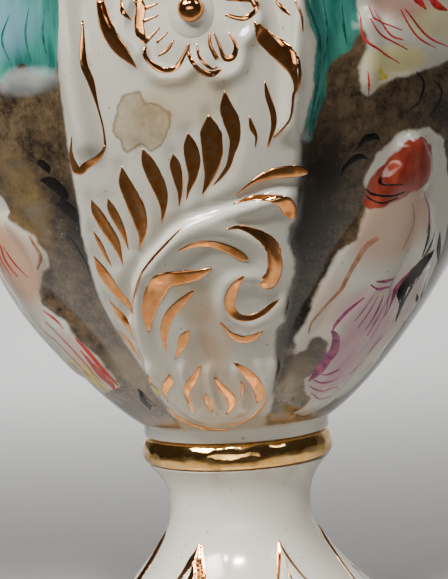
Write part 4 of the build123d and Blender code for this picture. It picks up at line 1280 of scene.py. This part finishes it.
def build_rosette(side, turned):
    """A low domed boss luted on the body, with a gold bead for its eye."""
    node = f"rosette_{side}"
    low, high = span(node)
    centre_z = (low[2] + high[2]) / 2
    reach = (high[2] - low[2]) / 2
    face = BODY.radius(centre_z)
    out = max(abs(low[1]), abs(high[1])) - face
    eye = reach * 0.4
    lip = [(reach * math.cos(a), out * 0.42 * math.sin(a)) for a in np.radians(np.arange(0, 78, 11))]
    middle_rise = [(eye, out * 0.42), (eye * 0.6, out * 0.5), (0.01, out * 0.5), (0.01, -2.0)]
    profile = [(reach, -2.0)] + lip + middle_rise
    bm = turn(profile, 96)
    bmesh.ops.remove_doubles(bm, verts=bm.verts, dist=0.03 * MM)
    for vert in bm.verts:
        x, y, z = vert.co / MM
        sag = math.sqrt(max(face**2 - x * x, 0)) - face
        vert.co = Vector((x, -(face + z + sag), centre_z - y)) * MM
    turn_round(bm, turned)
    bmesh.ops.recalc_face_normals(bm, faces=bm.faces)
    piece(f"flower_boss_{side}", bm, PORCELAIN, stands_for=(node,))
    bead = bmesh.new()
    bmesh.ops.create_uvsphere(bead, u_segments=40, v_segments=24, radius=eye * MM)
    for vert in bead.verts:
        vert.co.y *= BEAD_FLATNESS
    middle = Vector((0, -(face + out - eye * BEAD_FLATNESS), centre_z)) * MM
    bmesh.ops.translate(bead, verts=bead.verts, vec=middle)
    turn_round(bead, turned)
    piece(f"gold_bead_{side}", bead, GOLD)


def ring_strokes(z, width):
    """One chain that runs right round a wall at a height."""
    return [[(angle, z, width) for angle in np.linspace(0, 360, 25)]]


GOLD_GROUPS = {"feathers": FEATHERS, "crest": CREST, "volute": VOLUTE, "shell": SHELL, "crown": CROWN}
NECK_DROPS = 12
# A drop of gold hanging from the rim: depth below the rim and width.
NECK_DROP = ((3, .4), (8, 2.6), (14, 2), (20, .3))
LEAF_EDGE_WIDTHS = (.4, 1.0, .7, .6, .5, .3)

build_body()
build_foot()
build_collar()
for side, turned in (("front", 0.0), ("back", 180.0)):
    build_handle(f"scroll_handle_{side}", f"handle_{side}", turned)
    gild_handle(f"handle_gilding_{side}", turned)
    build_rosette(side, turned)
    for name, chains in GOLD_GROUPS.items():
        strokes(f"gold_{name}_{side}", BODY, chains, GOLD, GOLD_THICK, turned)
    for name, chains in LINES.items():
        strokes(f"{name}_enamel_{side}", BODY, chains, ENAMELS[name], THIN_THICK, turned)

neck_gold = ring_strokes(RIM_Z - 1.2, 3.2) + ring_strokes(NECK_Z - 6, 1.0)
for i in range(NECK_DROPS):
    at = (i + 0.5) * 360 / NECK_DROPS
    neck_gold.append([(at, RIM_Z - depth, width) for depth, width in NECK_DROP])
strokes("gold_neck", BODY, neck_gold, GOLD, THIN_THICK)

foot_gold = []
for i in range(LOBE_COUNT):
    at = LOBE_TURN + i * 360 / LOBE_COUNT
    for way in (1, -1):
        edge = [(at + way * a, h, w) for (a, h), w in zip(LEAF_HALF, LEAF_EDGE_WIDTHS)]
        foot_gold.append(edge)
        foot_gold.append([(at + way * a, h, w) for a, h, w in LEAF_SIDE_VEIN])
    foot_gold.append([(at + a, h, w) for a, h, w in LEAF_VEIN])
foot_gold += ring_strokes(FOOT_PLINTH_HEIGHT - 1.6, 1.4)
strokes("gold_foot", FOOT, foot_gold, GOLD, THIN_THICK)

FINISHES = {"tie_bolt": STEEL, "inner_washer": STEEL, "lower_washer": STEEL, "lock_washer": STEEL,
            "clamp_nut": STEEL, "inner_seal": RUBBER, "lower_seal": RUBBER, "lower_gasket": CORK,
            "upper_gasket": CORK}
for node, finish in FINISHES.items():
    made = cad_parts[node]
    for mount in made.material_slots:
        mount.material = finish


# ---- Floor, light and camera ----
def stage_material():
    """Matt grey paper for the floor and the wall behind, with a barely visible tooth."""
    material, tree, shader, place = new_material("studio_paper")
    tooth = add_node(tree, "ShaderNodeTexNoise", {"Scale": per_mm(4), "Detail": 2.0}, Vector=place)
    tone = add_node(tree, "ShaderNodeMix", LAID_OVER, _0=tooth.outputs["Fac"], _6="#D9D8D6",
                    _7="#DFDEDC").outputs[2]
    tree.links.new(tone, shader.inputs["Base Color"])
    shader.inputs["Roughness"].default_value = 0.9
    return material


SWEEP_WIDTH = 6.0
# The paper's side view in metres: distance behind the vase, and height.
SWEEP_LINE = ((-2.5, 0.0), (0.9, 0.0), (1.15, 0.03), (1.34, 0.13), (1.46, 0.3), (1.5, 0.55), (1.5, 2.6))


def build_sweep():
    """A pale floor that curves up into the wall behind."""
    bm = bmesh.new()
    verts = [bm.verts.new((-SWEEP_WIDTH / 2, y, z)) for y, z in SWEEP_LINE]
    edges = [bm.edges.new(pair) for pair in zip(verts, verts[1:])]
    grown = bmesh.ops.extrude_edge_only(bm, edges=edges)
    moved = [g for g in grown["geom"] if isinstance(g, bmesh.types.BMVert)]
    bmesh.ops.translate(bm, verts=moved, vec=(SWEEP_WIDTH, 0, 0))
    bmesh.ops.recalc_face_normals(bm, faces=bm.faces)
    mesh = bpy.data.meshes.new("paper_sweep")
    bm.to_mesh(mesh)
    bm.free()
    mesh.polygons.foreach_set("use_smooth", [True] * len(mesh.polygons))
    mesh.materials.append(stage_material())
    sweep = bpy.data.objects.new("paper_sweep", mesh)
    bpy.context.scene.collection.objects.link(sweep)
    return sweep


def softbox(name, place, aim, size, power, colour, spread, on_floor):
    """An area light in metres and watts, facing its aim, that lights the floor only where that is said."""
    data = bpy.data.lights.new(name, "AREA")
    data.shape = "RECTANGLE"
    data.size, data.size_y = size
    data.energy = power
    data.color = linear(colour)[:3]
    data.spread = math.radians(spread)
    light = bpy.data.objects.new(name, data)
    way = Vector(aim) - Vector(place)
    light.matrix_world = Matrix.Translation(place) @ way.to_track_quat("-Z", "Y").to_matrix().to_4x4()
    bpy.context.scene.collection.objects.link(light)
    light.visible_camera = False
    if not on_floor:
        light.light_linking.receiver_collection = FLAGGED


FLAGGED = bpy.data.collections.new("flagged")
FLAGGED.objects.link(build_sweep())
FLAGGED.collection_objects[0].light_linking.link_state = "EXCLUDE"
AIM = (0, 0, 0.16)
softbox("window", (-0.62, -0.6, 0.95), AIM, (0.42, 0.42), 1.25, "#FFFDF8", 40, False)
softbox("lamp", (-0.35, -0.75, 0.8), AIM, (0.07, 0.07), 0.35, "#FFFFFF", 60, False)
softbox("far_window", (-0.1, -1.6, 0.24), (0, 0, 0.2), (2.2, 0.44), 1.3, "#FFF6E8", 60, False)
softbox("side_fill", (0.7, -0.45, 0.85), (0, 0, 0.22), (0.3, 0.4), 0.12, "#F4F7FF", 34, False)
softbox("floor_pool", (-0.05, -0.65, 0.72), (0, -0.03, 0), (0.5, 0.06), 0.28, "#FFF8F0", 14, True)
softbox("wall_wash", (-1.0, 0.3, 1.7), (0.1, 1.5, 0.75), (1.0, 1.0), 14.5, "#FFFFFF", 84, True)
softbox("floor_wash", (-0.3, 0.85, 1.3), (-0.1, 0.85, 0), (0.8, 0.8), 3.4, "#FFFFFF", 76, True)
world = bpy.data.worlds.new("room")
bpy.context.scene.world = world
world.use_nodes = True
world.node_tree.nodes["Background"].inputs["Color"].default_value = linear("#8C8680")
world.node_tree.nodes["Background"].inputs["Strength"].default_value = 0.16

CAMERA_DISTANCE = 480.0
CAMERA_HEIGHT = 143.0
CAMERA_SIDE = -1.5
AZIMUTH, PITCH, ROLL = 3.5, 2.94, 3.2
SENSOR_WIDTH = 36.0
FOCAL_LENGTH = 92.46
turn_by, dip, tip = (math.radians(a) for a in (AZIMUTH, PITCH, ROLL))
right = Vector((math.cos(turn_by), math.sin(turn_by), 0))
ahead = Vector((-math.sin(turn_by), math.cos(turn_by), 0))
eye = (-CAMERA_DISTANCE * ahead + CAMERA_SIDE * right + Vector((0, 0, CAMERA_HEIGHT))) * MM
forward = ahead * math.cos(dip) - Vector((0, 0, math.sin(dip)))
upward = ahead * math.sin(dip) + Vector((0, 0, math.cos(dip)))
camera_data = bpy.data.cameras.new("camera")
camera_data.sensor_width = SENSOR_WIDTH
camera_data.lens = FOCAL_LENGTH
camera_data.clip_start = 0.01
camera = bpy.data.objects.new("camera", camera_data)
leaned_right = right * math.cos(tip) - upward * math.sin(tip)
leaned_up = right * math.sin(tip) + upward * math.cos(tip)
turned_frame = Matrix((leaned_right, leaned_up, -forward)).transposed().to_4x4()
camera.matrix_world = Matrix.Translation(eye) @ turned_frame
bpy.context.scene.collection.objects.link(camera)
bpy.context.scene.camera = camera
